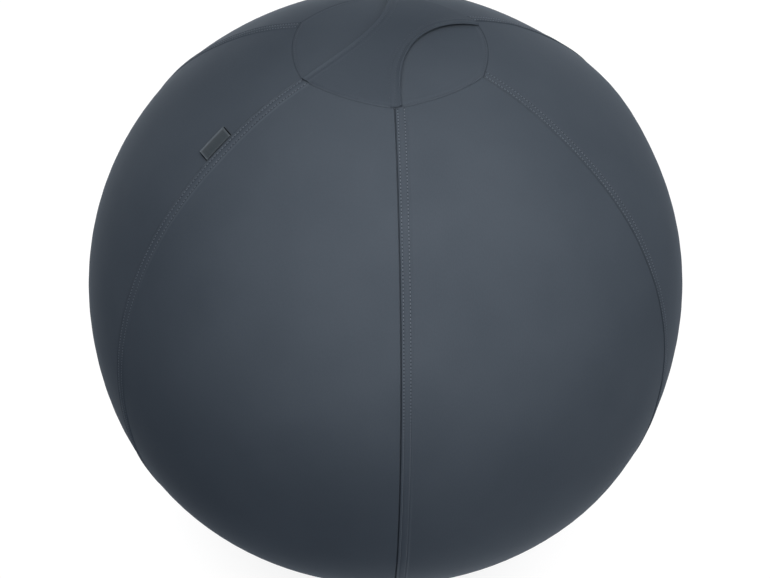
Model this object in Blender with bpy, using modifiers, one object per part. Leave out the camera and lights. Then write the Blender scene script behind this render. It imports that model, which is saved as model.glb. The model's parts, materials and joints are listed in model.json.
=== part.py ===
"""A sitting ball in a sewn fabric cover, at real size in metres.

The origin is on the floor under the middle of the ball, +Z is up and the front faces -Y.
A place on the ball is its azimuth, from the front round to the right, and its angle from the top.
A distance up or down the cover is measured along its surface.
"""

import math

import bmesh
import bpy
from mathutils import Matrix, Vector

# Ball, cover and inner ball
BALL_DIAMETER = 0.650
CONTACT_DIAMETER = 0.140
CAP_DIAMETER = 0.201
COVER_THICKNESS = 0.0020
INNER_BALL_WALL = 0.0010
PANEL_NAMES = ("front_right", "right", "back_right", "back_left", "left", "front_left")
PANEL_FACETS = 8
ARC_STEP = math.radians(10)
FIT_GAP = 0.0003

# Carry handle, a strap that narrows in the middle and arches over the cap
HANDLE_WAIST = 0.054
HANDLE_THICKNESS = 0.0024
HANDLE_RISE = 0.0060
HANDLE_ROWS = 16
HANDLE_COLUMNS = 6

# Label, a folded tape sewn into a seam at its open edges
LABEL_LENGTH = 0.033
LABEL_WIDTH = 0.016
LABEL_HEIGHT = 0.0020
LABEL_TAPE = 0.0006
LABEL_DROP = 0.104
FOLD_STEPS = 6

# Ballast in its sleeve on the base panel
BALLAST_INNER_DIAMETER = 0.044
BALLAST_HEIGHT = 0.0130
SLEEVE_THICKNESS = 0.0010
SLEEVE_HEM = 0.0050
ARCH_STEPS = 6
SMALL_FACETS = 24

# Zip round the base
ZIP_DIAMETER = 0.300
COIL_WIDTH = 0.0022
COIL_HEIGHT = 0.0018
COIL_SPACING = 0.0022
TAPE_WIDTH = 0.0120
TAPE_THICKNESS = 0.0006
STOP_AZIMUTH = math.radians(166)
STOP_LENGTH = 0.0030
STOP_HEIGHT = 0.0008
INNER_BALL_RAMP = 0.0040

# Slider and pull of the zip
SLIDER_AZIMUTH = math.radians(160)
SLIDER_LENGTH = 0.0100
SLIDER_WIDTH = 0.0100
SLIDER_PLATE = 0.0010
SLIDER_WING = 0.0008
SLIDER_CLEARANCE = 0.0005
SLIDER_POST_LENGTH = 0.0030
SLIDER_POST_WIDTH = 0.0010
BAIL_LENGTH = 0.0060
BAIL_WIDTH = 0.0012
BAIL_WIRE = 0.0008
PULL_LENGTH = 0.0240
PULL_WIDTH = 0.0060
PULL_THICKNESS = 0.0010
PULL_BAR = 0.0010
PULL_PLAY = 0.0005
PULL_TIP_STEPS = 8

# Valve under the inner ball
VALVE_BORE = 0.0100
VALVE_WALL = 0.0015
VALVE_COLLAR = 0.0070
VALVE_FLANGE = 0.0060
VALVE_FLANGE_THICKNESS = 0.0012
PLUG_LENGTH = 0.0090
PLUG_TAPER = 0.0015
PLUG_HEAD = 0.0200
PLUG_HEAD_THICKNESS = 0.0022

# Heights and radii that follow from the sizes above
PANEL_COUNT = len(PANEL_NAMES)
BALL_RADIUS = BALL_DIAMETER / 2
CONTACT_RADIUS = CONTACT_DIAMETER / 2
CENTRE_HEIGHT = math.sqrt(BALL_RADIUS**2 - CONTACT_RADIUS**2)
COVER_INSIDE = BALL_RADIUS - COVER_THICKNESS
INNER_BALL_RADIUS = COVER_INSIDE - FIT_GAP
TAPE_OUTSIDE = COVER_INSIDE - FIT_GAP
TAPE_INSIDE = TAPE_OUTSIDE - TAPE_THICKNESS
WING_OUTSIDE = TAPE_INSIDE - SLIDER_CLEARANCE
WING_INSIDE = WING_OUTSIDE - SLIDER_WING
INNER_BALL_STEP = WING_INSIDE - FIT_GAP
BALLAST_BOTTOM = COVER_THICKNESS + FIT_GAP
SLEEVE_TOP = BALLAST_BOTTOM + BALLAST_HEIGHT + FIT_GAP + SLEEVE_THICKNESS
INNER_BALL_BOTTOM = SLEEVE_TOP + FIT_GAP

# Places along the surface, as angles from the top
CAP_ANGLE = math.asin(CAP_DIAMETER / BALL_DIAMETER)
ZIP_ANGLE = math.pi - math.asin(ZIP_DIAMETER / BALL_DIAMETER)
CONTACT_ANGLE = math.pi - math.asin(CONTACT_RADIUS / BALL_RADIUS)
ROW_EDGE = COIL_SPACING / 2
COVER_EDGE = ROW_EDGE + COIL_WIDTH + FIT_GAP
TAPE_EDGE = ROW_EDGE + TAPE_WIDTH


def clear_scene():
    for obj in list(bpy.data.objects):
        bpy.data.objects.remove(obj)


def new_collection(name):
    collection = bpy.data.collections.new(name)
    bpy.context.scene.collection.children.link(collection)
    return collection


def linear(channel):
    if channel <= 0.04045:
        return channel / 12.92
    return ((channel + 0.055) / 1.055) ** 2.4


def paint(obj, finish):
    """Give an object its own material from an sRGB colour, a roughness and a metallic value."""
    colour, roughness, metallic = finish
    material = bpy.data.materials.new(obj.name + "_finish")
    material.use_nodes = True
    shader = material.node_tree.nodes["Principled BSDF"]
    channels = [int(colour[i : i + 2], 16) / 255 for i in (1, 3, 5)]
    shader.inputs["Base Color"].default_value = [linear(c) for c in channels] + [1]
    shader.inputs["Roughness"].default_value = roughness
    shader.inputs["Metallic"].default_value = metallic
    obj.data.materials.append(material)


def add_part(name, data, finish):
    obj = bpy.data.objects.new(name, data)
    parts.objects.link(obj)
    paint(obj, finish)
    return obj


def add_empty(name, location):
    empty = bpy.data.objects.new(name, None)
    empty.location = location
    parts.objects.link(empty)
    return empty


def hang_on(empty, pieces):
    """Parent pieces that are drawn in world coordinates to an empty on their joint's axis."""
    for piece in pieces:
        piece.parent = empty
        piece.location = -empty.location


def spread(first, last, longest=ARC_STEP):
    """Evenly spaced angles from first to last, no further apart than longest."""
    steps = max(1, math.ceil(abs(last - first) / longest - 1e-6))
    return [first + (last - first) * i / steps for i in range(steps + 1)]


def arc(radius, angles):
    """Profile points on a circle about the ball's centre, at angles from the top."""
    return [
        (radius * math.sin(a), CENTRE_HEIGHT + radius * math.cos(a)) for a in angles
    ]


def up_cover(angle, distance):
    """The angle from the top of a place this far up the cover from another."""
    return angle - distance / BALL_RADIUS


def surface_frame(azimuth, angle, radius):
    """A place on the ball, with X to the right along it, Y up along it and Z out of it."""
    plan = Vector((math.sin(azimuth), -math.cos(azimuth), 0))
    up = Vector((0, 0, 1))
    out = plan * math.sin(angle) + up * math.cos(angle)
    rise = up * math.sin(angle) - plan * math.cos(angle)
    right = rise.cross(out)
    frame = Matrix((right, rise, out)).transposed().to_4x4()
    frame.translation = up * CENTRE_HEIGHT + out * radius
    return frame


def turned(name, profile, finish, closed=False, facets=PANEL_COUNT * PANEL_FACETS):
    """Turn a profile of (radius, height) points about the ball's upright axis."""
    count = len(profile)
    edges = [(i, i + 1) for i in range(count - 1)]
    if closed:
        edges.append((count - 1, 0))
    mesh = bpy.data.meshes.new(name)
    mesh.from_pydata([(r, 0, z) for r, z in profile], edges, [])
    obj = add_part(name, mesh, finish)
    screw = obj.modifiers.new("turn", "SCREW")
    screw.steps = facets
    screw.render_steps = facets
    screw.use_merge_vertices = True
    screw.merge_threshold = 0.00001
    screw.use_smooth_shade = True
    return obj


def evaluated_mesh(obj):
    graph = bpy.context.evaluated_depsgraph_get()
    return bpy.data.meshes.new_from_object(obj.evaluated_get(graph))


def cut_sector(name, ring, first, last):
    """The stretch of a turned ring between two azimuths, less half the fit gap at each end."""
    bm = bmesh.new()
    bm.from_mesh(ring)
    for azimuth, side in ((first, -1), (last, 1)):
        outward = side * Vector((math.cos(azimuth), math.sin(azimuth), 0))
        bmesh.ops.bisect_plane(
            bm,
            geom=bm.verts[:] + bm.edges[:] + bm.faces[:],
            dist=1e-7,
            plane_co=-outward * FIT_GAP / 2,
            plane_no=outward,
            clear_outer=True,
        )
    rim = [edge for edge in bm.edges if edge.is_boundary]
    bmesh.ops.holes_fill(bm, edges=rim, sides=0)
    bmesh.ops.recalc_face_normals(bm, faces=bm.faces[:])
    mesh = bpy.data.meshes.new(name)
    bm.to_mesh(mesh)
    bm.free()
    mesh.shade_smooth()
    mesh.set_sharp_from_angle(angle=math.radians(30))
    return mesh


def block_mesh(name, low, high):
    """A box between two opposite corners."""
    low, high = Vector(low), Vector(high)
    place = Matrix.Translation((low + high) / 2) @ Matrix.Diagonal(high - low).to_4x4()
    bm = bmesh.new()
    bmesh.ops.create_cube(bm, size=1, matrix=place)
    mesh = bpy.data.meshes.new(name)
    bm.to_mesh(mesh)
    bm.free()
    return mesh


def weld_on(obj, name, low, high):
    """Join a box to an object, in the object's own coordinates."""
    tool = bpy.data.objects.new(name, block_mesh(name, low, high))
    tools.objects.link(tool)
    tool.parent = obj
    tool.hide_render = True
    tool.display_type = "WIRE"
    union = obj.modifiers.new(name, "BOOLEAN")
    union.operation = "UNION"
    union.solver = "EXACT"
    union.object = tool


def flat_outline(name, outlines, thickness, finish):
    """A plate of this thickness with one outline, and a hole for each further one."""
    curve = bpy.data.curves.new(name, "CURVE")
    curve.dimensions = "2D"
    curve.fill_mode = "BOTH"
    curve.extrude = thickness / 2
    for outline in outlines:
        spline = curve.splines.new("POLY")
        spline.points.add(len(outline) - 1)
        for point, (x, y) in zip(spline.points, outline):
            point.co = (x, y, 0, 1)
        spline.use_cyclic_u = True
    return add_part(name, curve, finish)


def half_round(centre_x, centre_y, radius, first, last, steps):
    """Points on a circle's arc between two directions."""
    turns = [first + (last - first) * i / steps for i in range(steps + 1)]
    return [
        (centre_x + radius * math.cos(a), centre_y + radius * math.sin(a))
        for a in turns
    ]


# Finishes: sRGB colour, roughness and metallic value
COVER_FABRIC = ("#464E57", 0.85, 0.0)
BASE_FABRIC = ("#2B3036", 0.90, 0.0)
LABEL_SATIN = ("#2A3037", 0.55, 0.0)
SLEEVE_CLOTH = ("#3A4048", 0.90, 0.0)
BALLAST_SAND = ("#8C8171", 0.90, 0.0)
ZIP_TAPE = ("#23272C", 0.90, 0.0)
ZIP_NYLON = ("#191C20", 0.45, 0.0)
ZIP_METAL = ("#5B5F63", 0.35, 1.0)
BALL_VINYL = ("#6F767D", 0.45, 0.0)
VALVE_VINYL = ("#2E3236", 0.50, 0.0)
PLUG_PLASTIC = ("#D9DADB", 0.40, 0.0)

clear_scene()
parts = new_collection("sitting_ball")
tools = new_collection("sitting_ball_tools")

# Shared rows of the cover and the inner ball, so that their facets lie parallel
half_gap = FIT_GAP / 2 / BALL_RADIUS
ramp_angle = up_cover(ZIP_ANGLE, TAPE_EDGE + INNER_BALL_RAMP)
cap_rows = spread(0, CAP_ANGLE)
side_rows = spread(CAP_ANGLE, math.pi / 2) + spread(math.pi / 2, ramp_angle)[1:]

# Six gore panels, cut from one turned shell along the seams
panel_rows = [CAP_ANGLE + half_gap] + side_rows[1:] + [up_cover(ZIP_ANGLE, COVER_EDGE)]
shell_profile = arc(BALL_RADIUS, panel_rows) + arc(COVER_INSIDE, reversed(panel_rows))
shell = turned("cover_shell", shell_profile, COVER_FABRIC, closed=True)
shell_mesh = evaluated_mesh(shell)
bpy.data.objects.remove(shell)
seam_spacing = 2 * math.pi / PANEL_COUNT
for number, side_name in enumerate(PANEL_NAMES):
    panel_name = "panel_" + side_name
    seam = number * seam_spacing
    panel_mesh = cut_sector(panel_name, shell_mesh, seam, seam + seam_spacing)
    add_part(panel_name, panel_mesh, COVER_FABRIC)

# Round cap that closes the panels at the top
cap_edge_rows = cap_rows[:-1] + [CAP_ANGLE - half_gap]
turned(
    "top_cap",
    arc(BALL_RADIUS, cap_edge_rows) + arc(COVER_INSIDE, reversed(cap_edge_rows)),
    COVER_FABRIC,
)

# Carry handle, sewn into the cap seam over two opposite panels
handle_azimuth = -seam_spacing / 2
handle_along = Vector((math.sin(handle_azimuth), -math.cos(handle_azimuth), 0))
handle_across = Vector((0, 0, 1)).cross(handle_along)
handle_reach = CAP_DIAMETER / 2 - FIT_GAP
handle_end = handle_reach * math.sin(seam_spacing / 2)


def handle_point(along, across):
    """A point under the strap, with both shares from -1 to 1."""
    half_width = HANDLE_WAIST / 2 + (handle_end - HANDLE_WAIST / 2) * along**2
    x = along * handle_reach * math.cos(across * seam_spacing / 2)
    y = across * half_width
    dip = y * along
    cap_height = math.sqrt((BALL_RADIUS + FIT_GAP) ** 2 - x**2 - dip**2)
    height = CENTRE_HEIGHT + cap_height + HANDLE_RISE * (1 - along**4) ** 2
    return handle_along * x + handle_across * y + Vector((0, 0, height))


strap = bmesh.new()
bmesh.ops.create_grid(
    strap, x_segments=HANDLE_ROWS, y_segments=HANDLE_COLUMNS, size=1
)
for vertex in strap.verts:
    vertex.co = handle_point(vertex.co.x, vertex.co.y)
strap_mesh = bpy.data.meshes.new("carry_handle")
strap.to_mesh(strap_mesh)
strap.free()
strap_mesh.shade_smooth()
handle = add_part("carry_handle", strap_mesh, COVER_FABRIC)
layers = handle.modifiers.new("layers", "SOLIDIFY")
layers.thickness = HANDLE_THICKNESS
layers.offset = 1

# Label, folded at its free edge and lying on the left panel
label_fold = LABEL_WIDTH - LABEL_HEIGHT / 2
label_middle = FIT_GAP + LABEL_HEIGHT / 2
quarter = math.pi / 2
outer_fold = half_round(
    label_fold, label_middle, LABEL_HEIGHT / 2, -quarter, quarter, FOLD_STEPS
)
inner_fold = half_round(
    label_fold, label_middle, LABEL_HEIGHT / 2 - LABEL_TAPE, quarter, -quarter, FOLD_STEPS
)
label_outline = (
    [(0, FIT_GAP)]
    + outer_fold
    + [(0, FIT_GAP + LABEL_HEIGHT), (0, FIT_GAP + LABEL_HEIGHT - LABEL_TAPE)]
    + inner_fold
    + [(0, FIT_GAP + LABEL_TAPE)]
)
label = flat_outline("label", [label_outline], LABEL_LENGTH, LABEL_SATIN)
label_angle = up_cover(CAP_ANGLE, -LABEL_DROP)
label_place = surface_frame(-seam_spacing, label_angle, BALL_RADIUS)
to_the_left = Matrix.Rotation(math.pi, 4, "Z")
on_edge = Matrix.Rotation(math.pi / 2, 4, "X")
label.matrix_world = label_place @ to_the_left @ on_edge

# Base panel, flat where it stands on the floor
base_edge = up_cover(ZIP_ANGLE, -COVER_EDGE)
tape_end = up_cover(ZIP_ANGLE, -TAPE_EDGE)
base_rows = [base_edge] + spread(tape_end, CONTACT_ANGLE)
patch_radius = math.sqrt(COVER_INSIDE**2 - (CENTRE_HEIGHT - COVER_THICKNESS) ** 2)
patch_angle = math.pi - math.asin(patch_radius / COVER_INSIDE)
base_inner_rows = [base_edge] + spread(tape_end, patch_angle)
base_profile = (
    [(0, COVER_THICKNESS)]
    + arc(COVER_INSIDE, reversed(base_inner_rows))
    + arc(BALL_RADIUS, base_rows)
    + [(0, 0)]
)
base_panel = turned("base_panel", base_profile, BASE_FABRIC)

# Ballast, a sand-filled ring with an arched section
ballast_inner = BALLAST_INNER_DIAMETER / 2
ballast_outer = patch_radius - 2 * FIT_GAP - SLEEVE_HEM - SLEEVE_THICKNESS
ballast_middle = (ballast_inner + ballast_outer) / 2
ballast_half = (ballast_outer - ballast_inner) / 2


def arch(half_width, height, lift):
    """Section points of an arch over the ballast's middle, starting lift above its foot."""
    first = math.asin(lift / height)
    turns = [
        math.pi - first - (math.pi - 2 * first) * i / ARCH_STEPS
        for i in range(ARCH_STEPS + 1)
    ]
    return [
        (
            ballast_middle + half_width * math.cos(a),
            BALLAST_BOTTOM + height * math.sin(a),
        )
        for a in turns
    ]


ballast = turned(
    "ballast_ring",
    arch(ballast_half, BALLAST_HEIGHT, 0),
    BALLAST_SAND,
    closed=True,
    facets=SMALL_FACETS,
)

# Sleeve that holds the ballast down, hemmed to the base panel inside and outside the ring
sleeve_half = ballast_half + FIT_GAP
sleeve_height = BALLAST_HEIGHT + FIT_GAP
hem_inner = ballast_middle - sleeve_half - SLEEVE_THICKNESS - SLEEVE_HEM
hem_outer = ballast_middle + sleeve_half + SLEEVE_THICKNESS + SLEEVE_HEM
hem_top = BALLAST_BOTTOM + SLEEVE_THICKNESS
sleeve_over = arch(
    sleeve_half + SLEEVE_THICKNESS, sleeve_height + SLEEVE_THICKNESS, SLEEVE_THICKNESS
)
sleeve_under = arch(sleeve_half, sleeve_height, 0)
sleeve_profile = (
    [(hem_inner, BALLAST_BOTTOM), (hem_inner, hem_top)]
    + sleeve_over
    + [(hem_outer, hem_top), (hem_outer, BALLAST_BOTTOM)]
    + list(reversed(sleeve_under))
)
sleeve = turned(
    "ballast_sleeve", sleeve_profile, SLEEVE_CLOTH, closed=True, facets=SMALL_FACETS
)


def zip_band(name, near, far, inside, outside, finish):
    """A ring along the zip between two distances up from its middle line."""
    top = up_cover(ZIP_ANGLE, max(near, far))
    bottom = up_cover(ZIP_ANGLE, min(near, far))
    profile = arc(outside, (top, bottom)) + arc(inside, (bottom, top))
    return turned(name, profile, finish, closed=True)


# Zip tapes inside the cover's edges, and the coil rows that lie on them in the gap
coil_bottom = TAPE_OUTSIDE + FIT_GAP
coil_top = coil_bottom + COIL_HEIGHT
row_far = ROW_EDGE + COIL_WIDTH
zip_band("zip_tape_cover", ROW_EDGE, TAPE_EDGE, TAPE_INSIDE, TAPE_OUTSIDE, ZIP_TAPE)
zip_band("zip_coil_cover", ROW_EDGE, row_far, coil_bottom, coil_top, ZIP_NYLON)
base_tape = zip_band(
    "zip_tape_base", -ROW_EDGE, -TAPE_EDGE, TAPE_INSIDE, TAPE_OUTSIDE, ZIP_TAPE
)
base_coil = zip_band(
    "zip_coil_base", -ROW_EDGE, -row_far, coil_bottom, coil_top, ZIP_NYLON
)

# Stops clamped on the cover's coil row at both ends of the slider's way
for stop_name, stop_azimuth in (("left", -STOP_AZIMUTH), ("right", STOP_AZIMUTH)):
    name = "zip_stop_" + stop_name
    stop_mesh = block_mesh(
        name,
        (-STOP_LENGTH / 2, ROW_EDGE, FIT_GAP),
        (STOP_LENGTH / 2, row_far, FIT_GAP + STOP_HEIGHT),
    )
    stop = add_part(name, stop_mesh, ZIP_METAL)
    stop.matrix_world = surface_frame(stop_azimuth, ZIP_ANGLE, coil_top)

# Slider, with a plate outside, a wing under the cover's tape and a post between the coil rows
zip_height = CENTRE_HEIGHT + BALL_RADIUS * math.cos(ZIP_ANGLE)
travel_axis = add_empty("zip_travel_axis", (0, 0, zip_height))
plate_low = max(BALL_RADIUS, coil_top) - BALL_RADIUS + SLIDER_CLEARANCE
plate_high = plate_low + SLIDER_PLATE
half_length = SLIDER_LENGTH / 2
half_width = SLIDER_WIDTH / 2
slider = add_part(
    "zip_slider",
    block_mesh(
        "zip_slider",
        (-half_length, -half_width, plate_low),
        (half_length, half_width, plate_high),
    ),
    ZIP_METAL,
)
wing_low = WING_INSIDE - BALL_RADIUS
wing_high = WING_OUTSIDE - BALL_RADIUS
half_post = SLIDER_POST_WIDTH / 2
post_end = -half_length + SLIDER_POST_LENGTH
plate_middle = (plate_low + plate_high) / 2
wing_middle = (wing_low + wing_high) / 2
weld_on(
    slider,
    "slider_post",
    (-half_length + SLIDER_PLATE / 2, -half_post, wing_middle),
    (post_end, half_post, plate_middle),
)
weld_on(
    slider,
    "slider_wing",
    (-half_length, -half_post - SLIDER_PLATE / 2, wing_low),
    (half_length, half_width, wing_high),
)
bail_low = plate_high + PULL_THICKNESS + 2 * PULL_PLAY
bail_high = bail_low + BAIL_WIRE
half_bail = BAIL_LENGTH / 2
for side in (-1, 1):
    ends = sorted((side * half_bail, side * (half_bail - BAIL_WIRE)))
    weld_on(
        slider,
        "bail_foot_front" if side < 0 else "bail_foot_back",
        (ends[0], -BAIL_WIDTH / 2, plate_middle),
        (ends[1], BAIL_WIDTH / 2, bail_low + BAIL_WIRE / 2),
    )
weld_on(
    slider,
    "bail_bridge",
    (-half_bail, -BAIL_WIDTH / 2, bail_low),
    (half_bail, BAIL_WIDTH / 2, bail_high),
)
slider_place = surface_frame(SLIDER_AZIMUTH, ZIP_ANGLE, BALL_RADIUS)
slider.parent = travel_axis
slider.matrix_local = Matrix.Translation(-travel_axis.location) @ slider_place

# Pull, a tab whose bar turns under the slider's bail
bar_half = PULL_BAR / 2
eye_half = BAIL_WIDTH / 2 + PULL_PLAY
eye_end = math.hypot(half_bail, bail_high - plate_high) + PULL_PLAY
tab_half = PULL_WIDTH / 2
tip_centre = PULL_LENGTH - tab_half
pull_outline = [(bar_half, -tab_half), (bar_half, tab_half)] + half_round(
    -tip_centre, 0, tab_half, quarter, 3 * quarter, PULL_TIP_STEPS
)
pull_eye = [
    (-bar_half, -eye_half),
    (-bar_half, eye_half),
    (-eye_end, eye_half),
    (-eye_end, -eye_half),
]
pull = flat_outline("zip_pull", [pull_outline, pull_eye], PULL_THICKNESS, ZIP_METAL)
pull.parent = slider
pull.location = (0, 0, plate_high + PULL_PLAY + PULL_THICKNESS / 2)

# Pieces that open with the base, hung from the closed stretch of zip at the back
base_axis = add_empty("base_hinge_axis", (0, ZIP_DIAMETER / 2, zip_height))
hang_on(base_axis, (base_panel, ballast, sleeve, base_tape, base_coil))

# Inner ball, drawn in behind the zip, flat on the ballast and open at the valve
valve_hole = VALVE_BORE / 2 + VALVE_WALL + FIT_GAP
step_angle = up_cover(ZIP_ANGLE, TAPE_EDGE)


def inner_ball_side(wall):
    """The inner ball's profile this far inside its outer face, from the top to the valve."""
    bottom = INNER_BALL_BOTTOM + wall
    step = INNER_BALL_STEP - wall
    flat_angle = math.pi - math.acos((CENTRE_HEIGHT - bottom) / step)
    return (
        arc(INNER_BALL_RADIUS - wall, cap_rows + side_rows[1:])
        + arc(step, spread(step_angle, flat_angle))
        + [(valve_hole, bottom)]
    )


inner_side = inner_ball_side(INNER_BALL_WALL)
turned("inner_ball", inner_ball_side(0) + inner_side[::-1], BALL_VINYL)

# Valve seat bonded into the inner ball's wall
seat_radius = valve_hole - FIT_GAP
flange_low = INNER_BALL_BOTTOM + INNER_BALL_WALL + FIT_GAP
flange_high = flange_low + VALVE_FLANGE_THICKNESS
collar_top = INNER_BALL_BOTTOM + VALVE_COLLAR
turned(
    "valve_seat",
    [
        (VALVE_BORE / 2, collar_top),
        (seat_radius, collar_top),
        (seat_radius, flange_high),
        (valve_hole + VALVE_FLANGE, flange_high),
        (valve_hole + VALVE_FLANGE, flange_low),
        (seat_radius, flange_low),
        (seat_radius, INNER_BALL_BOTTOM),
        (VALVE_BORE / 2, INNER_BALL_BOTTOM),
    ],
    VALVE_VINYL,
    closed=True,
    facets=SMALL_FACETS,
)

# Valve plug pushed up into the seat
stem_radius = VALVE_BORE / 2 - FIT_GAP
plug_top = INNER_BALL_BOTTOM + PLUG_LENGTH
head_top = INNER_BALL_BOTTOM - FIT_GAP
turned(
    "valve_plug",
    [
        (0, plug_top),
        (stem_radius - PLUG_TAPER, plug_top),
        (stem_radius, plug_top - PLUG_TAPER),
        (stem_radius, head_top),
        (PLUG_HEAD / 2, head_top),
        (PLUG_HEAD / 2, head_top - PLUG_HEAD_THICKNESS),
        (0, head_top - PLUG_HEAD_THICKNESS),
    ],
    PLUG_PLASTIC,
    facets=SMALL_FACETS,
)
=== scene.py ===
"""The looks of a sitting ball in a sewn fabric cover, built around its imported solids, in metres.

The front faces -Y and +Z is up. A place on the ball is its azimuth, from the front round to the right,
and its angle from the top. Distances on the cover run along its surface.
"""

import json
import math

import bpy
import numpy as np
from mathutils import Matrix, Vector, noise


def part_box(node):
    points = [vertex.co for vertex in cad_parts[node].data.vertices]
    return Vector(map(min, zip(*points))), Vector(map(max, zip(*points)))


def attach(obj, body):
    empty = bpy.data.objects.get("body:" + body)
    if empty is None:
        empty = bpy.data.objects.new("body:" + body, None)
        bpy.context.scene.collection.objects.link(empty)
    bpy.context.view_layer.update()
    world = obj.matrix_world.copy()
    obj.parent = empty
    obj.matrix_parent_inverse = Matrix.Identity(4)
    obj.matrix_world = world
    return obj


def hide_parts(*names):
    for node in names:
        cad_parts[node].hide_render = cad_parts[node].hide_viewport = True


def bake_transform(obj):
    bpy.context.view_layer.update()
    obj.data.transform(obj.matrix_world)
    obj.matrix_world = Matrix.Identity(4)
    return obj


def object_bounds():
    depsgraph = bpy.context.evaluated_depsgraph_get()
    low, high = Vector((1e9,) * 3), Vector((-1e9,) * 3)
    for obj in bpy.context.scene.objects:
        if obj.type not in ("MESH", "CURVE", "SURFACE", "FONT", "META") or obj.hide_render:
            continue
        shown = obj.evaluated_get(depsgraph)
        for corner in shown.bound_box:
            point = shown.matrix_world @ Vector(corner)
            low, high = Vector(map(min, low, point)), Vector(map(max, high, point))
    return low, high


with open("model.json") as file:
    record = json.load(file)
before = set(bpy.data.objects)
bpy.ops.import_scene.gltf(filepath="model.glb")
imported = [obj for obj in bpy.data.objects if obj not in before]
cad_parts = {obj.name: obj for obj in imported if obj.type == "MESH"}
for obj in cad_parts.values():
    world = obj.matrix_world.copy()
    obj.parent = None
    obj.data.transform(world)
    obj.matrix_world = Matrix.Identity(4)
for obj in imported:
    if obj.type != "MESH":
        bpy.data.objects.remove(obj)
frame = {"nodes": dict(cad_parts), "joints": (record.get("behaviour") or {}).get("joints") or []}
cad_low, cad_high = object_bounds()
scene = bpy.context.scene
scene.view_settings.view_transform = "Standard"

# Camera: looks down on the ball from the front, a little left of the front seam and tilted by a degree.
# Its place and its lens are fitted to the ball's outline, its seams and its cap.
BALL_RADIUS = (cad_high.x - cad_low.x) / 2
BALL_CENTRE = Vector((0, 0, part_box("top_cap")[1].z - BALL_RADIUS))
IMAGE_WIDTH = 770
FOCAL_PIXELS = 1681
VIEW_AZIMUTH = math.radians(-3.10)
VIEW_ELEVATION = math.radians(40.96)
VIEW_DISTANCE = 1.859
VIEW_ROLL = math.radians(1.11)
BALL_RIGHT_PIXELS = 0.5
BALL_UP_PIXELS = 2.9


def out_of_ball(azimuth, angle):
    """The direction out of the ball at a place on it."""
    flat = math.sin(angle)
    return Vector((flat * math.sin(azimuth), -flat * math.cos(azimuth), math.cos(angle)))


def spot_at(point, right, up, out):
    """A spot at a point, with X to the right, Y up and Z outward."""
    spot = Matrix((right, up, out)).transposed().to_4x4()
    spot.translation = point
    return spot


camera_data = bpy.data.cameras.new("camera")
camera_data.lens = FOCAL_PIXELS * camera_data.sensor_width / IMAGE_WIDTH
camera_data.shift_x = -BALL_RIGHT_PIXELS / IMAGE_WIDTH
camera_data.shift_y = -BALL_UP_PIXELS / IMAGE_WIDTH
camera = bpy.data.objects.new("camera", camera_data)
scene.collection.objects.link(camera)
scene.camera = camera
view_out = out_of_ball(VIEW_AZIMUTH, math.pi / 2 - VIEW_ELEVATION)
view_right = Vector((math.cos(VIEW_AZIMUTH), math.sin(VIEW_AZIMUTH), 0))
view_up = view_out.cross(view_right)
image_right = view_right * math.cos(VIEW_ROLL) + view_up * math.sin(VIEW_ROLL)
image_up = view_up * math.cos(VIEW_ROLL) - view_right * math.sin(VIEW_ROLL)
camera.matrix_world = spot_at(BALL_CENTRE + view_out * VIEW_DISTANCE, image_right, image_up, view_out)

# Studio: a white floor, soft lamps round the ball, and a fill from above and below.
# The fill and the lamp from below stand for the floor's own light. The floor takes the ball's shadow
# close to where the ball stands, and is plain white further out.
FLOOR_SIZE = 14.0
FLOOR_DROP = 0.0004
FLOOR_COLOUR = "#F2F2F2"
FLOOR_WHITE = 1.06
FLOOR_WHITE_NEAR = 0.72
SHADOW_START = 0.08
SHADOW_END = 0.31
FILL_COLOUR = "#C6E1FF"
FILL_ABOVE = 0.152
FILL_BELOW = 0.225
FILL_BAND = 0.10
WARM_LAMP = "#FFF9F4"
COOL_LAMP = "#F0F7FF"
# Azimuth and elevation in degrees, distance, size, power in watts, and colour
LAMPS = {
    "key_lamp": (15, 55, 2.6, 2.0, 25.6, WARM_LAMP),
    "near_left_lamp": (-12, 58, 0.9, 0.6, 2.42, WARM_LAMP),
    "near_right_lamp": (30, 32, 0.9, 0.6, 1.03, WARM_LAMP),
    "back_right_lamp": (140, 10, 2.6, 2.0, 20.0, COOL_LAMP),
    "back_lamp": (180, -5, 2.6, 2.0, 18.0, COOL_LAMP),
    "back_left_lamp": (-140, -5, 2.6, 2.0, 18.0, COOL_LAMP),
    "under_lamp": (100, -75, 2.6, 2.0, 24.0, COOL_LAMP),
}


def tint(code):
    """The linear colour that an sRGB hex code stands for."""
    channels = [int(code[i : i + 2], 16) / 255 for i in (1, 3, 5)]
    curve = [c / 12.92 if c <= 0.04045 else ((c + 0.055) / 1.055) ** 2.4 for c in channels]
    return curve + [1.0]


def set_inputs(node, inputs):
    """Set each input to a value, or link it to an output, or to the first output in use of a node."""
    for socket, value in dict(inputs).items():
        if isinstance(value, bpy.types.Node):
            value = next(output for output in value.outputs if output.enabled)
        if isinstance(value, bpy.types.NodeSocket):
            node.id_data.links.new(value, node.inputs[socket])
        else:
            node.inputs[socket].default_value = value


def add_node(tree, kind, inputs=(), **settings):
    """Add a node with its settings, its values and its links."""
    node = tree.nodes.new("ShaderNode" + kind)
    for name, value in settings.items():
        setattr(node, name, value)
    set_inputs(node, inputs)
    return node


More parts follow.
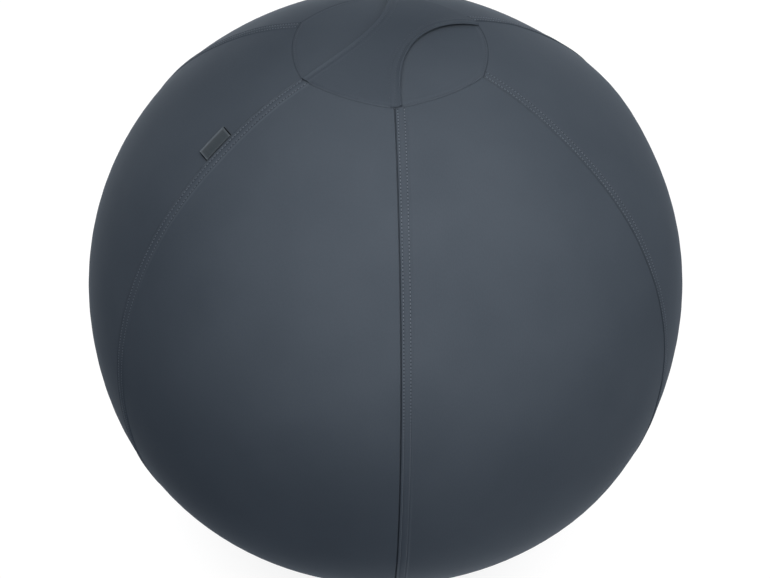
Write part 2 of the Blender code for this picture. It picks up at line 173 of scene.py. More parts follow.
world = bpy.data.worlds.new("studio")
scene.world = world
world.use_nodes = True
sky = world.node_tree
ray = add_node(sky, "LightPath").outputs
mirrored = add_node(
    sky, "Math", {0: ray["Is Glossy Ray"], 1: ray["Is Transmission Ray"]}, operation="MAXIMUM"
)
seen = add_node(sky, "Math", {0: ray["Is Camera Ray"], 1: mirrored}, operation="MAXIMUM")
direction = add_node(sky, "TexCoord").outputs["Generated"]
height = add_node(sky, "SeparateXYZ", {0: direction}).outputs[2]
fill = add_node(sky, "MapRange", {0: height, 1: -FILL_BAND, 2: FILL_BAND, 3: FILL_BELOW, 4: FILL_ABOVE})
sky_strength = add_node(sky, "Mix", {0: seen, 2: fill, 3: 1.0})
sky_colour = add_node(sky, "Mix", {0: seen, 6: tint(FILL_COLOUR), 7: (1, 1, 1, 1)}, data_type="RGBA")
set_inputs(sky.nodes["Background"], {"Strength": sky_strength, "Color": sky_colour})

bpy.ops.object.select_all(action="DESELECT")
bpy.ops.mesh.primitive_plane_add(size=FLOOR_SIZE, location=(0, 0, -FLOOR_DROP))
floor = bpy.context.object
floor.name = "floor"
floor_paint = bpy.data.materials.new("pale_floor")
floor_paint.use_nodes = True
tree = floor_paint.node_tree
tree.nodes.clear()
matte = add_node(tree, "BsdfDiffuse", {"Color": tint(FLOOR_COLOUR)})
white = add_node(tree, "Emission", {"Color": (1, 1, 1, 1), "Strength": FLOOR_WHITE})
on_floor = add_node(tree, "TexCoord").outputs["Object"]
from_middle = add_node(tree, "VectorMath", {0: on_floor}, operation="LENGTH")
plain = add_node(
    tree, "MapRange", {0: from_middle, 1: SHADOW_START, 2: SHADOW_END, 3: FLOOR_WHITE_NEAR, 4: 1.0}
)
above = add_node(tree, "MixShader", {0: plain, 1: matte, 2: white})
under = add_node(tree, "BsdfTransparent")
side = add_node(tree, "NewGeometry").outputs["Backfacing"]
both = add_node(tree, "MixShader", {0: side, 1: above, 2: under})
add_node(tree, "OutputMaterial", {"Surface": both})
floor.data.materials.append(floor_paint)
floor.visible_diffuse = False
floor.visible_shadow = False

for lamp_name, (azimuth, elevation, lamp_distance, *lamp_values) in LAMPS.items():
    lamp_data = bpy.data.lights.new(lamp_name, "AREA")
    lamp_data.shape = "DISK"
    lamp_data.size, lamp_data.energy, lamp_colour = lamp_values
    lamp_data.color = tint(lamp_colour)[:3]
    lamp = bpy.data.objects.new(lamp_name, lamp_data)
    lamp_out = out_of_ball(math.radians(azimuth), math.radians(90 - elevation))
    lamp.location = BALL_CENTRE + lamp_out * lamp_distance
    lamp.rotation_euler = lamp_out.to_track_quat("Z", "Y").to_euler()
    lamp.visible_camera = False
    scene.collection.objects.link(lamp)

# Gores: six panels of smooth polyester knit, pulled tight over the ball so that their seams stand proud.
# Each one's folded left edge is lapped over its neighbour's and sewn down with two rows of stitches.
GORE_NAMES = ("front_right", "right", "back_right", "back_left", "left", "front_left")
GORE_SPAN = math.tau / len(GORE_NAMES)
CAP_ANGLE = math.asin(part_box("top_cap")[1].x / BALL_RADIUS)
HEM_ANGLE = math.acos((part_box("panel_right")[0].z - BALL_CENTRE.z) / BALL_RADIUS)
GORE_LENGTH = BALL_RADIUS * (HEM_ANGLE - CAP_ANGLE)
GORE_WIDTH = BALL_RADIUS * GORE_SPAN
CLOTH_THICKNESS = 0.0012
CLOTH_CREASE = math.radians(50)
SEAM_RISE = 0.0011
SEAM_REACH = 0.016
LOW_SEAM_SHARE = 0.15
LOW_SEAM_START = 75
LOW_SEAM_SPAN = 27
GORE_SAG = 0.0004
SAG_REACH = 0.060
# Angles from the top in degrees, each with the ball's departure from a round one
FULLNESS = (
    (18.0, 0.0), (36.0, -0.0012), (55.0, 0.0010), (91.0, -0.0015), (117.0, 0.0023), (137.0, -0.0006),
    (153.0, 0.0),
)
# Azimuth and angle from the top in degrees, height and reach of each
SWELLINGS = ((110, 51, 0.0034, 0.062), (52, 120, 0.0014, 0.080))
RING_POINT = 0.0006
RING_PULL = 0.0050
GROOVE_DEPTH = 0.0014
GROOVE_WIDTH = 0.0009
RING_DEPTH = 0.0005
FOLD_WIDTH = 0.0114
FOLD_STEP = 0.0018
FOLD_RISE = 0.0007
STITCH_ROWS = (0.0027, 0.0091)
STITCH_WANTED = 0.0035
STITCH_COUNT = round(GORE_LENGTH / STITCH_WANTED)
STITCH_PITCH = GORE_LENGTH / STITCH_COUNT
STITCH_DIP = 0.0004
STITCH_DIP_WIDTH = 0.0008
HOLE_DIP = 0.0003
HOLE_RADIUS = 0.0007
PUCKER = 0.0003
PUCKER_LENGTH = 0.028
FOLD_COLUMNS = (
    0, 0.00025, 0.0005, 0.0009, 0.0014, 0.0020, 0.0027, 0.0034, 0.0045, 0.0060, 0.0075, 0.0084,
    0.0091, 0.0098, 0.0106, 0.0112, 0.0118, 0.0125, 0.0140, 0.0170, 0.0220,
)
PLAIN_COLUMNS = (0.0150, 0.0080, 0.0045, 0.0025, 0.0014, 0.0009, 0.0005, 0.00025, 0)
MIDDLE_COLUMNS = 16
EDGE_ROWS = (0, 0.00025, 0.0005, 0.0009)
ROWS_PER_STITCH = 2
COVER_DARK = "#464E57"
COVER_LIGHT = "#4E565F"
# Painted shade: the colour that the needle holes and the grooves of the seams are darkened to
PAINTED_SHADE_COLOUR = "#2A3037"
# Painted shade in the seams' grooves, growing further down, and in the groove along the cap's seam
SEAM_PAINTED_SHADE_WIDTH = 0.0010
SEAM_PAINTED_SHADE_START = 0.10
SEAM_PAINTED_SHADE_END = 0.32
RING_PAINTED_SHADE = 0.45
RING_PAINTED_SHADE_WIDTH = 0.0012
CLOUD_SIZE = 0.110
GRAIN_WIDTH = 0.0013
GRAIN_LENGTH = 0.0030
GRAIN_HEIGHT = 0.00012
GRAIN_STRENGTH = 0.6
GRAIN_SHARE = 0.35
SHADE_LOW = 0.40
SHADE_HIGH = 0.95
FUZZ_COLOUR = "#C9D2DC"


def smooth(share):
    """An even rise from 0 to 1, held before and after it."""
    share = min(max(share, 0.0), 1.0)
    return share * share * (3 - 2 * share)


def hump(distance, width):
    """A soft hump, 1 at its middle, at a distance from there."""
    return math.exp(-((distance / width) ** 2))


def fullness(angle):
    """How far the blown-up ball departs from a round one at an angle from the top."""
    for (start, low), (end, high) in zip(FULLNESS, FULLNESS[1:]):
        if angle < math.radians(end):
            return low + (high - low) * smooth((math.degrees(angle) - start) / (end - start))
    return 0.0


def swelling(out):
    """How far the ball swells out of its even shape, in a direction out of it."""
    lift = 0.0
    for azimuth, angle, height, reach in SWELLINGS:
        away = BALL_RADIUS * out.angle(out_of_ball(math.radians(azimuth), math.radians(angle)))
        lift += height * hump(away, reach)
    return lift


def cap_edge(azimuth):
    """The angle from the top of the cap's seam, which the gores' seams pull out to soft points."""
    share = azimuth / GORE_SPAN % 1
    return CAP_ANGLE + (RING_POINT - 4 * RING_PULL * share * (1 - share)) / BALL_RADIUS


def gore_angle(azimuth, drop):
    """The angle from the top of a place on a gore, at a distance below the cap's seam."""
    shift = (cap_edge(azimuth) - CAP_ANGLE) * (1 - drop / GORE_LENGTH)
    return CAP_ANGLE + drop / BALL_RADIUS + shift


def ring_at(drop):
    """The radius of the ring round the ball, at a distance below the cap's seam."""
    return BALL_RADIUS * math.sin(CAP_ANGLE + drop / BALL_RADIUS)


def gore_lift(across, width, drop):
    """How far a gore stands off the round ball, at a distance from its folded edge and below the cap."""
    angle = CAP_ANGLE + drop / BALL_RADIUS
    tight = smooth(drop / SAG_REACH) * smooth((GORE_LENGTH - drop) / SAG_REACH)
    low_down = smooth((math.degrees(angle) - LOW_SEAM_START) / LOW_SEAM_SPAN)
    rise = SEAM_RISE * (1 - (1 - LOW_SEAM_SHARE) * low_down)
    ridge = math.exp(-across / SEAM_REACH) + math.exp((across - width) / SEAM_REACH)
    lift = tight * (rise * ridge - GORE_SAG) + fullness(angle)
    out_of_seam = smooth(min(across, width - across) / GROOVE_WIDTH)
    out_of_ring = smooth(drop / GROOVE_WIDTH)
    lift -= max(GROOVE_DEPTH * (1 - out_of_seam), RING_DEPTH * (1 - out_of_ring))
    fold_end = (across - FOLD_WIDTH + FOLD_STEP / 2) / FOLD_STEP
    lift += FOLD_RISE * min(out_of_seam, out_of_ring) * (1 - smooth(fold_end))
    hole = 0.5 - 0.5 * math.cos(math.tau * drop / STITCH_PITCH)
    for row in STITCH_ROWS:
        lift -= hump(across - row, STITCH_DIP_WIDTH) * (STITCH_DIP + HOLE_DIP * hole)
    return lift


def gore_columns(width):
    """Distances of a gore's columns from its folded edge, closest together along both seams."""
    last = width - PLAIN_COLUMNS[0]
    step = (last - FOLD_COLUMNS[-1]) / (MIDDLE_COLUMNS + 1)
    middle = [FOLD_COLUMNS[-1] + step * (i + 1) for i in range(MIDDLE_COLUMNS)]
    return [*FOLD_COLUMNS, *middle, *(width - d for d in PLAIN_COLUMNS)]


def keep_cut(cloth, cut):
    """Keep where each corner lies in the flat cut, in metres, as the cloth's UV map."""
    while cloth.data.uv_layers:
        cloth.data.uv_layers.remove(cloth.data.uv_layers[0])
    uv = cloth.data.uv_layers.new(name="cut")
    for loop in cloth.data.loops:
        uv.data[loop.index].uv = cut[loop.vertex_index]


def laid_cloth(name, columns, rows, place):
    """A cloth with a corner for each column and row, set in its place, and with its cut."""
    bpy.ops.object.select_all(action="DESELECT")
    bpy.ops.mesh.primitive_grid_add(x_subdivisions=columns - 1, y_subdivisions=rows - 1, size=1)
    cloth = bpy.context.object
    cloth.name = name
    cut = {}
    for vertex in cloth.data.vertices:
        column = round((vertex.co.x + 0.5) * (columns - 1))
        row = round((vertex.co.y + 0.5) * (rows - 1))
        vertex.co, cut[vertex.index] = place(column, row)
    keep_cut(cloth, cut)
    return cloth


def thicken(cloth, thickness, *materials, offset=-1):
    """Give a cloth the materials of its face and back, and its thickness, smooth up to its cut edges."""
    for material in materials:
        cloth.data.materials.append(material)
    layer = cloth.modifiers.new("thickness", "SOLIDIFY")
    layer.thickness = thickness
    layer.offset = offset
    layer.material_offset = len(materials) - 1
    bpy.ops.object.modifier_apply(modifier=layer.name)
    bpy.ops.object.shade_smooth_by_angle(angle=CLOTH_CREASE)


def new_finish(name, **sockets):
    """A material of its own name, with the values that are the same all over set on its shader."""
    finish = bpy.data.materials.new(name)
    finish.use_nodes = True
    shader = finish.node_tree.nodes["Principled BSDF"]
    set_inputs(shader, {socket.replace("_", " "): value for socket, value in sockets.items()})
    return finish, finish.node_tree, shader


# Polyester knit: dyed in the piece, so almost even in colour, with a fine lengthwise grain that is drawn
# coarser than its 0.4 mm loops so that it shows, and a faint fuzz that lightens it where it turns away.
# Its needle holes and the grooves of its seams, the cap's seam too, are painted darker in its colour:
# painted shade, as light hardly reaches into them.
cover_knit, tree, shader = new_finish(
    "polyester_knit",
    Roughness=0.70,
    Specular_IOR_Level=0.034,
    Sheen_Weight=0.06,
    Sheen_Roughness=0.22,
    Sheen_Tint=tint(FUZZ_COLOUR),
)
place = add_node(tree, "TexCoord").outputs["Object"]
cut = add_node(tree, "UVMap", uv_map="cut")
cloud = add_node(tree, "TexNoise", {"Vector": place, "Scale": 1 / CLOUD_SIZE, "Detail": 3.0})
loops = add_node(tree, "Mapping", {"Vector": cut, "Scale": (1 / GRAIN_WIDTH, 1 / GRAIN_LENGTH, 1)})
grain = add_node(tree, "TexNoise", {"Vector": loops, "Scale": 1.0, "Detail": 2.0})
shade = add_node(tree, "Math", {0: grain, 1: GRAIN_SHARE, 2: cloud}, operation="MULTIPLY_ADD")
level = add_node(tree, "MapRange", {0: shade, 1: SHADE_LOW, 2: SHADE_HIGH})
dye = add_node(tree, "Mix", {0: level, 6: tint(COVER_DARK), 7: tint(COVER_LIGHT)}, data_type="RGBA")
across, along, _ = add_node(tree, "SeparateXYZ", {0: cut}).outputs
stitches = add_node(tree, "Math", {0: along, 1: STITCH_PITCH}, operation="DIVIDE")
part = add_node(tree, "Math", {0: stitches}, operation="FRACT")
along_hole = add_node(
    tree, "Math", {0: part, 1: STITCH_PITCH, 2: -STITCH_PITCH / 2}, operation="MULTIPLY_ADD"
)
# Painted shade: each row of needle holes is darkened in the cloth's colour.
knit_colour_with_painted_shade = dye
for row in STITCH_ROWS:
    across_hole = add_node(tree, "Math", {0: across, 1: row}, operation="SUBTRACT")
    to_hole = add_node(tree, "CombineXYZ", {0: across_hole, 1: along_hole})
    distance = add_node(tree, "VectorMath", {0: to_hole}, operation="LENGTH")
    dark = add_node(tree, "MapRange", {0: distance, 1: HOLE_RADIUS / 2, 2: HOLE_RADIUS, 3: 1.0, 4: 0.0})
    knit_colour_with_painted_shade = add_node(
        tree, "Mix", {0: dark, 6: knit_colour_with_painted_shade, 7: tint(PAINTED_SHADE_COLOUR)}, data_type="RGBA"
    )
# Painted shade: the seams' grooves lower down, and the groove along the cap's seam, are darkened.
in_seam = add_node(tree, "MapRange", {0: across, 2: SEAM_PAINTED_SHADE_WIDTH, 3: 1.0, 4: 0.0})
low_down = add_node(
    tree, "MapRange", {0: along, 1: GORE_LENGTH - SEAM_PAINTED_SHADE_START, 2: GORE_LENGTH - SEAM_PAINTED_SHADE_END}
)
seam_painted_shade = add_node(tree, "Math", {0: in_seam, 1: low_down}, operation="MULTIPLY")
above_ring = add_node(tree, "Math", {0: along, 1: GORE_LENGTH}, operation="SUBTRACT")
from_ring = add_node(tree, "Math", {0: above_ring}, operation="ABSOLUTE")
ring_painted_shade = add_node(tree, "MapRange", {0: from_ring, 2: RING_PAINTED_SHADE_WIDTH, 3: RING_PAINTED_SHADE, 4: 0.0})
painted_groove_shade = add_node(tree, "Math", {0: seam_painted_shade, 1: ring_painted_shade}, operation="MAXIMUM")
knit_colour_with_painted_shade = add_node(tree, "Mix", {0: painted_groove_shade, 6: knit_colour_with_painted_shade, 7: tint(PAINTED_SHADE_COLOUR)}, data_type="RGBA")
relief = add_node(tree, "Bump", {"Height": grain, "Distance": GRAIN_HEIGHT, "Strength": GRAIN_STRENGTH})
set_inputs(shader, {"Base Color": knit_colour_with_painted_shade, "Normal": relief})

row_steps = STITCH_COUNT * ROWS_PER_STITCH
row_drops = [GORE_LENGTH * i / row_steps for i in range(1, row_steps)]
gore_drops = [*EDGE_ROWS, *row_drops, *(GORE_LENGTH - d for d in reversed(EDGE_ROWS))]
column_count = len(gore_columns(GORE_WIDTH))
for number, side_name in enumerate(GORE_NAMES):
    seam_azimuth = number * GORE_SPAN

    def on_gore(column, row):
        """A corner of this gore, from its hem up to the cap, and where it lies in the cut."""
        drop = gore_drops[len(gore_drops) - 1 - row]
        ring = ring_at(drop)
        width = ring * GORE_SPAN
        across = gore_columns(width)[column]
        azimuth = seam_azimuth + across / ring
        out = out_of_ball(azimuth, gore_angle(azimuth, drop))
        near_seam = math.exp(-min(across, width - across) / PUCKER_LENGTH)
        pucker = PUCKER * near_seam * noise.noise(out * BALL_RADIUS / PUCKER_LENGTH)
        lift = gore_lift(across, width, drop) + swelling(out) + pucker
        return BALL_CENTRE + out * (BALL_RADIUS + lift), (across, GORE_LENGTH - drop)

    gore = laid_cloth("cover_" + side_name, column_count, len(gore_drops), on_gore)
    thicken(gore, CLOTH_THICKNESS, cover_knit)
    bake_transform(gore)
    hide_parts("panel_" + side_name)

# Seam stitching: two rows of polyester thread along every gore seam, through the fold under it.
# One stitch is a small loop of thread that dives into the cloth at both ends; the rest are its copies.
THREAD_WIDTH = 0.00070
THREAD_HEIGHT = 0.00060
STITCH_SHARE = 0.70
STITCH_LENGTH = STITCH_SHARE * STITCH_PITCH
SEAM_ENDS = 0.0030
# The light tones are painted highlight, for light on the thread's rounded top; the plain ones are the
# cloth's own
THREAD_PLAIN_AND_PAINTED_HIGHLIGHT = {"light": ("#636B75", "#7C848E"), "plain": ("#3C444D", "#48505A")}
THREAD_TWIST = 0.0006
THREAD_RELIEF = 0.0001


def on_ball(azimuth, angle, lift):
    """A spot lifted off the ball, with X to the right along it and Y up along it."""
    out = out_of_ball(azimuth, angle)
    right = Vector((math.cos(azimuth), math.sin(azimuth), 0))
    return spot_at(BALL_CENTRE + out * (BALL_RADIUS + lift), right, out.cross(right), out)


def copies_of(shape, name, spots, material):
    """One object that holds a copy of a small modelled shape at each spot."""
    corners = np.array([(*v.co, 1) for v in shape.data.vertices])
    faces = [list(p.vertices) for p in shape.data.polygons]
    points = np.concatenate([corners @ np.array(spot).T for spot in spots])[:, :3]
    count = len(corners)
    all_faces = [[i + count * n for i in face] for n in range(len(spots)) for face in faces]
    mesh = bpy.data.meshes.new(name)
    mesh.from_pydata(points.tolist(), [], all_faces)
    mesh.shade_smooth()
    mesh.materials.append(material)
    obj = bpy.data.objects.new(name, mesh)
    scene.collection.objects.link(obj)
    return obj


def bead(segments, rings, size):
    """A bead of thread or wire that lies along Y, of this width, length and height."""
    bpy.ops.object.select_all(action="DESELECT")
    bpy.ops.mesh.primitive_uv_sphere_add(segments=segments, ring_count=rings, radius=0.5)
    bpy.ops.object.mode_set(mode="EDIT")
    bpy.ops.mesh.select_all(action="SELECT")
    bpy.ops.transform.rotate(value=math.pi / 2, orient_axis="X", center_override=(0, 0, 0))
    bpy.ops.transform.resize(value=size)
    bpy.ops.object.mode_set(mode="OBJECT")
    return bpy.context.object


def mottled_finish(name, size, tones, detail=3.0, gloss=None, relief=None, **sockets):
    """A finish in two tones of one mottle, which may range in gloss with it, or be raised by it."""
    finish, tree, shader = new_finish(name, **sockets)
    place = add_node(tree, "TexCoord").outputs["Object"]
    mottle = add_node(tree, "TexNoise", {"Vector": place, "Scale": 1 / size, "Detail": detail})
    dark, light = (tint(code) for code in tones)
    tone = add_node(tree, "Mix", {0: mottle, 6: dark, 7: light}, data_type="RGBA")
    set_inputs(shader, {"Base Color": tone})
    if gloss:
        rough = add_node(tree, "MapRange", {0: mottle, 3: gloss[0], 4: gloss[1]})
        set_inputs(shader, {"Roughness": rough})
    if relief:
        bump = add_node(tree, "Bump", {"Height": mottle, "Distance": relief[0], "Strength": relief[1]})
        set_inputs(shader, {"Normal": bump})
    return finish


stitch = bead(segments=6, rings=4, size=(THREAD_WIDTH, STITCH_LENGTH, THREAD_HEIGHT))

# Polyester thread: two plies twisted together, a little shinier than the cloth. In the gores' seams and
# the hems it is painted lighter, as painted highlight on its rounded top; the cap and the handle are
# sewn in the cloth's own shade.
threads = {}
for thread_name, thread_tones in THREAD_PLAIN_AND_PAINTED_HIGHLIGHT.items():
    threads[thread_name] = mottled_finish(
        "polyester_thread_" + thread_name,
        THREAD_TWIST,
        thread_tones,
        detail=2.0,
        relief=(THREAD_RELIEF, 0.5),
        Roughness=0.55,
        Specular_IOR_Level=0.15,
    )

# Painted highlight: the gores' seams are sewn with the thread painted lighter.
for number, side_name in enumerate(GORE_NAMES):
    spots = []
    for row in STITCH_ROWS:
        for count in range(STITCH_COUNT):
            drop = count * STITCH_PITCH
            if not SEAM_ENDS < drop < GORE_LENGTH - SEAM_ENDS:
                continue
            ring = ring_at(drop)
            lift = gore_lift(row, ring * GORE_SPAN, drop)
            azimuth = number * GORE_SPAN + row / ring
            angle = gore_angle(azimuth, drop)
            spots.append(on_ball(azimuth, angle, lift + swelling(out_of_ball(azimuth, angle))))
    stitching = copies_of(stitch, "stitching_" + side_name, spots, threads["light"])
    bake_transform(stitching)

# Top cap: a round of the same knit, which the six gores are sewn to along their upper ends.
# Its edge is folded under all round and sewn down with one row of stitches.
CAP_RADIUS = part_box("top_cap")[1].x
CAP_REACH = BALL_RADIUS * CAP_ANGLE
CAP_FOLD = 0.0070
CAP_FOLD_RISE = 0.0002
CAP_STITCH_INSET = 0.0026
CAP_STEPS = 180
CAP_EDGE_INSETS = (
    0, 0.00025, 0.0005, 0.0009, 0.0016, 0.0026, 0.0034, 0.0045, 0.0060, 0.0068, 0.0076, 0.0090
)
CAP_MIDDLE_ROWS = 18
MERGE_DISTANCE = 0.000001
CUT_ASIDE = 1.0


def cap_lift(inset):
    """How far the cap stands off the round ball, this far in from its seam."""
    raised = smooth(inset / GROOVE_WIDTH)
    lift = CAP_FOLD_RISE * raised * (1 - smooth((inset - CAP_FOLD + FOLD_STEP / 2) / FOLD_STEP))
    lift -= RING_DEPTH * (1 - raised)
    return lift - STITCH_DIP * hump(inset - CAP_STITCH_INSET, STITCH_DIP_WIDTH)


def turned(name, profile, steps):
    """Turn a profile of (radius, height) points about the ball's upright axis."""
    points = [Vector((radius, 0, height)) for radius, height in profile]
    bpy.ops.object.select_all(action="DESELECT")
    bpy.ops.mesh.primitive_plane_add()
    obj = bpy.context.object
    obj.name = name
    bpy.ops.object.mode_set(mode="EDIT")
    bpy.ops.mesh.select_all(action="SELECT")
    bpy.ops.mesh.merge(type="CENTER")
    bpy.ops.transform.translate(value=points[0])
    for last, point in zip(points, points[1:]):
        bpy.ops.mesh.extrude_region_move(TRANSFORM_OT_translate={"value": point - last})
    bpy.ops.mesh.select_all(action="SELECT")
    bpy.ops.mesh.spin(steps=steps, angle=math.tau, center=(0, 0, 0), axis=(0, 0, 1))
    bpy.ops.mesh.select_all(action="SELECT")
    bpy.ops.mesh.remove_doubles(threshold=MERGE_DISTANCE)
    bpy.ops.mesh.normals_make_consistent(inside=False)
    bpy.ops.object.mode_set(mode="OBJECT")
    return obj


def flat_cut(cloth):
    """Keep a round cloth's plan as its cut, put aside from the gores' seams and stitches."""
    keep_cut(cloth, [(v.co.x + CUT_ASIDE, v.co.y + CUT_ASIDE) for v in cloth.data.vertices])


cap_step = (CAP_REACH - CAP_EDGE_INSETS[-1]) / CAP_MIDDLE_ROWS
cap_insets = [CAP_REACH - cap_step * i for i in range(CAP_MIDDLE_ROWS)]
cap_profile = []
for inset in [*cap_insets, *reversed(CAP_EDGE_INSETS)]:
    angle = CAP_ANGLE - inset / BALL_RADIUS
    reach = BALL_RADIUS + cap_lift(inset)
    cap_profile.append((reach * math.sin(angle), BALL_CENTRE.z + reach * math.cos(angle)))
cap = turned("cap_cloth", cap_profile, CAP_STEPS)
for vertex in cap.data.vertices:
    out = vertex.co - BALL_CENTRE
    azimuth = math.atan2(out.x, -out.y)
    angle = math.acos(min(out.z / out.length, 1)) * cap_edge(azimuth) / CAP_ANGLE
    vertex.co = BALL_CENTRE + out_of_ball(azimuth, angle) * out.length
flat_cut(cap)
thicken(cap, CLOTH_THICKNESS, cover_knit)
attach(cap, "seat")
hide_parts("top_cap")

# Carry handle: a wide strap of doubled knit over the cap, its ends caught in the cap's seam.
# It narrows in the middle, where a hand goes under it, and has a thick hem with two rows of stitches.
STRAP_AZIMUTH = -GORE_SPAN / 2
# Left and right of the strap's middle line
STRAP_WAISTS = {-1: 0.0225, 1: 0.0270}
STRAP_ENDS = {-1: 0.0494, 1: 0.0560}
STRAP_BACK_EXTRA = 0.0030
STRAP_INSET = 0.0040
STRAP_REACH = CAP_RADIUS - STRAP_INSET
STRAP_END_GAP = 0.0002
STRAP_RISE = 0.0006
STRAP_LEFT_RISE = 0.0008
STRAP_GAP = 0.0003
STRAP_THICKNESS = 0.0012
STRAP_TOP_MIDDLE = 0.0015
STRAP_TOP_END = 0.0013
HEM_WIDTH = 0.0104
HEM_RISE = 0.0003
HEM_ROLL = 0.0008
HEM_BEAD = 0.0010
HEM_BEAD_INSET = 0.0013
HEM_BEAD_WIDTH = 0.0010
HEM_STITCH_INSETS = (0.0046, 0.0098)
END_DIVE = 0.0030
END_FREE = 0.0040
STRAP_EDGE_COLUMNS = (
    0, 0.0003, 0.0006, 0.0009, 0.0013, 0.0017, 0.0021, 0.0027, 0.0036, 0.0046, 0.0056, 0.0070,
    0.0088, 0.0098, 0.0106, 0.0112, 0.0120, 0.0135,
)
STRAP_MIDDLE_COLUMNS = 12
STRAP_END_ROWS = (0, 0.0004, 0.0009, 0.0015, 0.0022, 0.0030)
STRAP_ROWS = 56
# Painted shade: the cloth's two tones made darker for the strap, for its turned grain.
SHADED_STRAP_DARK = "#414952"
SHADED_STRAP_LIGHT = "#49515A"
strap_along = out_of_ball(STRAP_AZIMUTH, math.pi / 2)
strap_across = Vector((0, 0, 1)).cross(strap_along)


def strap_end(along, side):
    """The strap's width on one side of its middle line at its nearer end, wider at the back right."""
    return STRAP_ENDS[side] + (STRAP_BACK_EXTRA if along < 0 < side else 0)


def strap_half_width(along, side):
    """The strap's width on one side of its middle line, at a share of the way to an end."""
    return STRAP_WAISTS[side] + (strap_end(along, side) - STRAP_WAISTS[side]) * along**2


def strap_point(along, across):
    """A point on top of the strap, and the direction out of the ball there."""
    side = 1 if across > 0 else -1
    half_width = strap_half_width(along, side)
    end_across = across / half_width * strap_end(along, side)
    end_azimuth = STRAP_AZIMUTH + math.asin(end_across / CAP_RADIUS)
    end_radius = BALL_RADIUS * math.sin(cap_edge(end_azimuth)) - STRAP_END_GAP
    x = along * math.sqrt(end_radius**2 - end_across**2)
    dip = across * along
    height = math.sqrt((BALL_RADIUS + STRAP_GAP) ** 2 - x**2 - dip**2)
    height += STRAP_RISE * (1 - along**4) ** 2
    height += STRAP_LEFT_RISE * (max(-across / half_width, 0) * (1 - along**2)) ** 2
    point = BALL_CENTRE + strap_along * x + strap_across * across + Vector((0, 0, height))
    edge = half_width - abs(across)
    to_end = STRAP_REACH * (1 - abs(along))
    top = STRAP_TOP_MIDDLE + (STRAP_TOP_END - STRAP_TOP_MIDDLE) * along**2
    lift = top + HEM_RISE * (1 - smooth((edge - HEM_WIDTH) / FOLD_STEP))
    lift -= HEM_ROLL * (1 - smooth(edge / GROOVE_WIDTH))
    lift += HEM_BEAD * hump(edge - HEM_BEAD_INSET, HEM_BEAD_WIDTH)
    for row in HEM_STITCH_INSETS:
        lift -= STITCH_DIP * hump(edge - row, STITCH_DIP_WIDTH)
    caught = smooth((edge - HEM_WIDTH + END_FREE) / END_FREE)
    lift -= caught * (top + RING_DEPTH) * (1 - smooth(to_end / END_DIVE))
    out = (point - BALL_CENTRE).normalized()
    return point + out * lift, out


strap_columns = 2 * len(STRAP_EDGE_COLUMNS) + STRAP_MIDDLE_COLUMNS
strap_step = (STRAP_REACH - STRAP_END_ROWS[-1]) / STRAP_ROWS
strap_ends = [*STRAP_END_ROWS, *(STRAP_END_ROWS[-1] + strap_step * (i + 1) for i in range(STRAP_ROWS))]


def strap_column(column, along):
    """How far a column lies from the strap's middle line, closest together along the hems."""
    edge_count = len(STRAP_EDGE_COLUMNS)
    left, right = (strap_half_width(along, side) for side in (-1, 1))
    if column < edge_count:
        return STRAP_EDGE_COLUMNS[column] - left
    if column >= strap_columns - edge_count:
        return right - STRAP_EDGE_COLUMNS[strap_columns - 1 - column]
    share = (column - edge_count + 1) / (STRAP_MIDDLE_COLUMNS + 1)
    return (right - STRAP_EDGE_COLUMNS[-1]) * share - (left - STRAP_EDGE_COLUMNS[-1]) * (1 - share)


def stitch_spots(path, length):
    """Spots for stitches along a path, which gives a point and outward for a distance along it."""
    spots = []
    for number in range(int(length / STITCH_PITCH)):
        (before, out), (after, _) = (path((number + share) * STITCH_PITCH) for share in (0.25, 0.75))
        onward = (after - before).normalized()
        right = onward.cross(out).normalized()
        spots.append(spot_at((before + after) / 2, right, onward, right.cross(onward)))
    return spots


# Doubled knit: the same cloth with its grain turned, which makes the strap look a shade darker; that
# look is painted shade, darker tones put into a copy of the cloth's colour.
shaded_strap_knit = cover_knit.copy()
shaded_strap_knit.name = "polyester_knit_doubled_painted_shade"
shaded_strap_dye = shaded_strap_knit.node_tree.nodes[dye.name].inputs
shaded_strap_dye[6].default_value = tint(SHADED_STRAP_DARK)
shaded_strap_dye[7].default_value = tint(SHADED_STRAP_LIGHT)
for end_name, end_side in (("front", 1), ("back", -1)):

    def on_strap(column, row):
        """A corner of this half of the strap, and where it lies in the cut."""
        number = row if end_side > 0 else len(strap_ends) - 1 - row
        along = end_side * (1 - strap_ends[number] / STRAP_REACH)
        across = strap_column(column, along)
        return strap_point(along, across)[0], (CUT_ASIDE + across, along * STRAP_REACH)

    strap = laid_cloth("handle_" + end_name, strap_columns, len(strap_ends), on_strap)
    thicken(strap, STRAP_THICKNESS, shaded_strap_knit)
    spots = []
    for side in (-1, 1):
        for inset in HEM_STITCH_INSETS:

            def along_hem(distance):
                """A point on this row, at a distance from the strap's end, and outward there."""
                along = end_side * (1 - distance / STRAP_REACH)
                return strap_point(along, side * (strap_half_width(along, side) - inset))

            spots += stitch_spots(along_hem, STRAP_REACH)
    strap_stitching = copies_of(stitch, "handle_stitching_" + end_name, spots, threads["plain"])
    for piece in (strap, strap_stitching):
        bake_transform(piece)
    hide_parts("carry_handle")

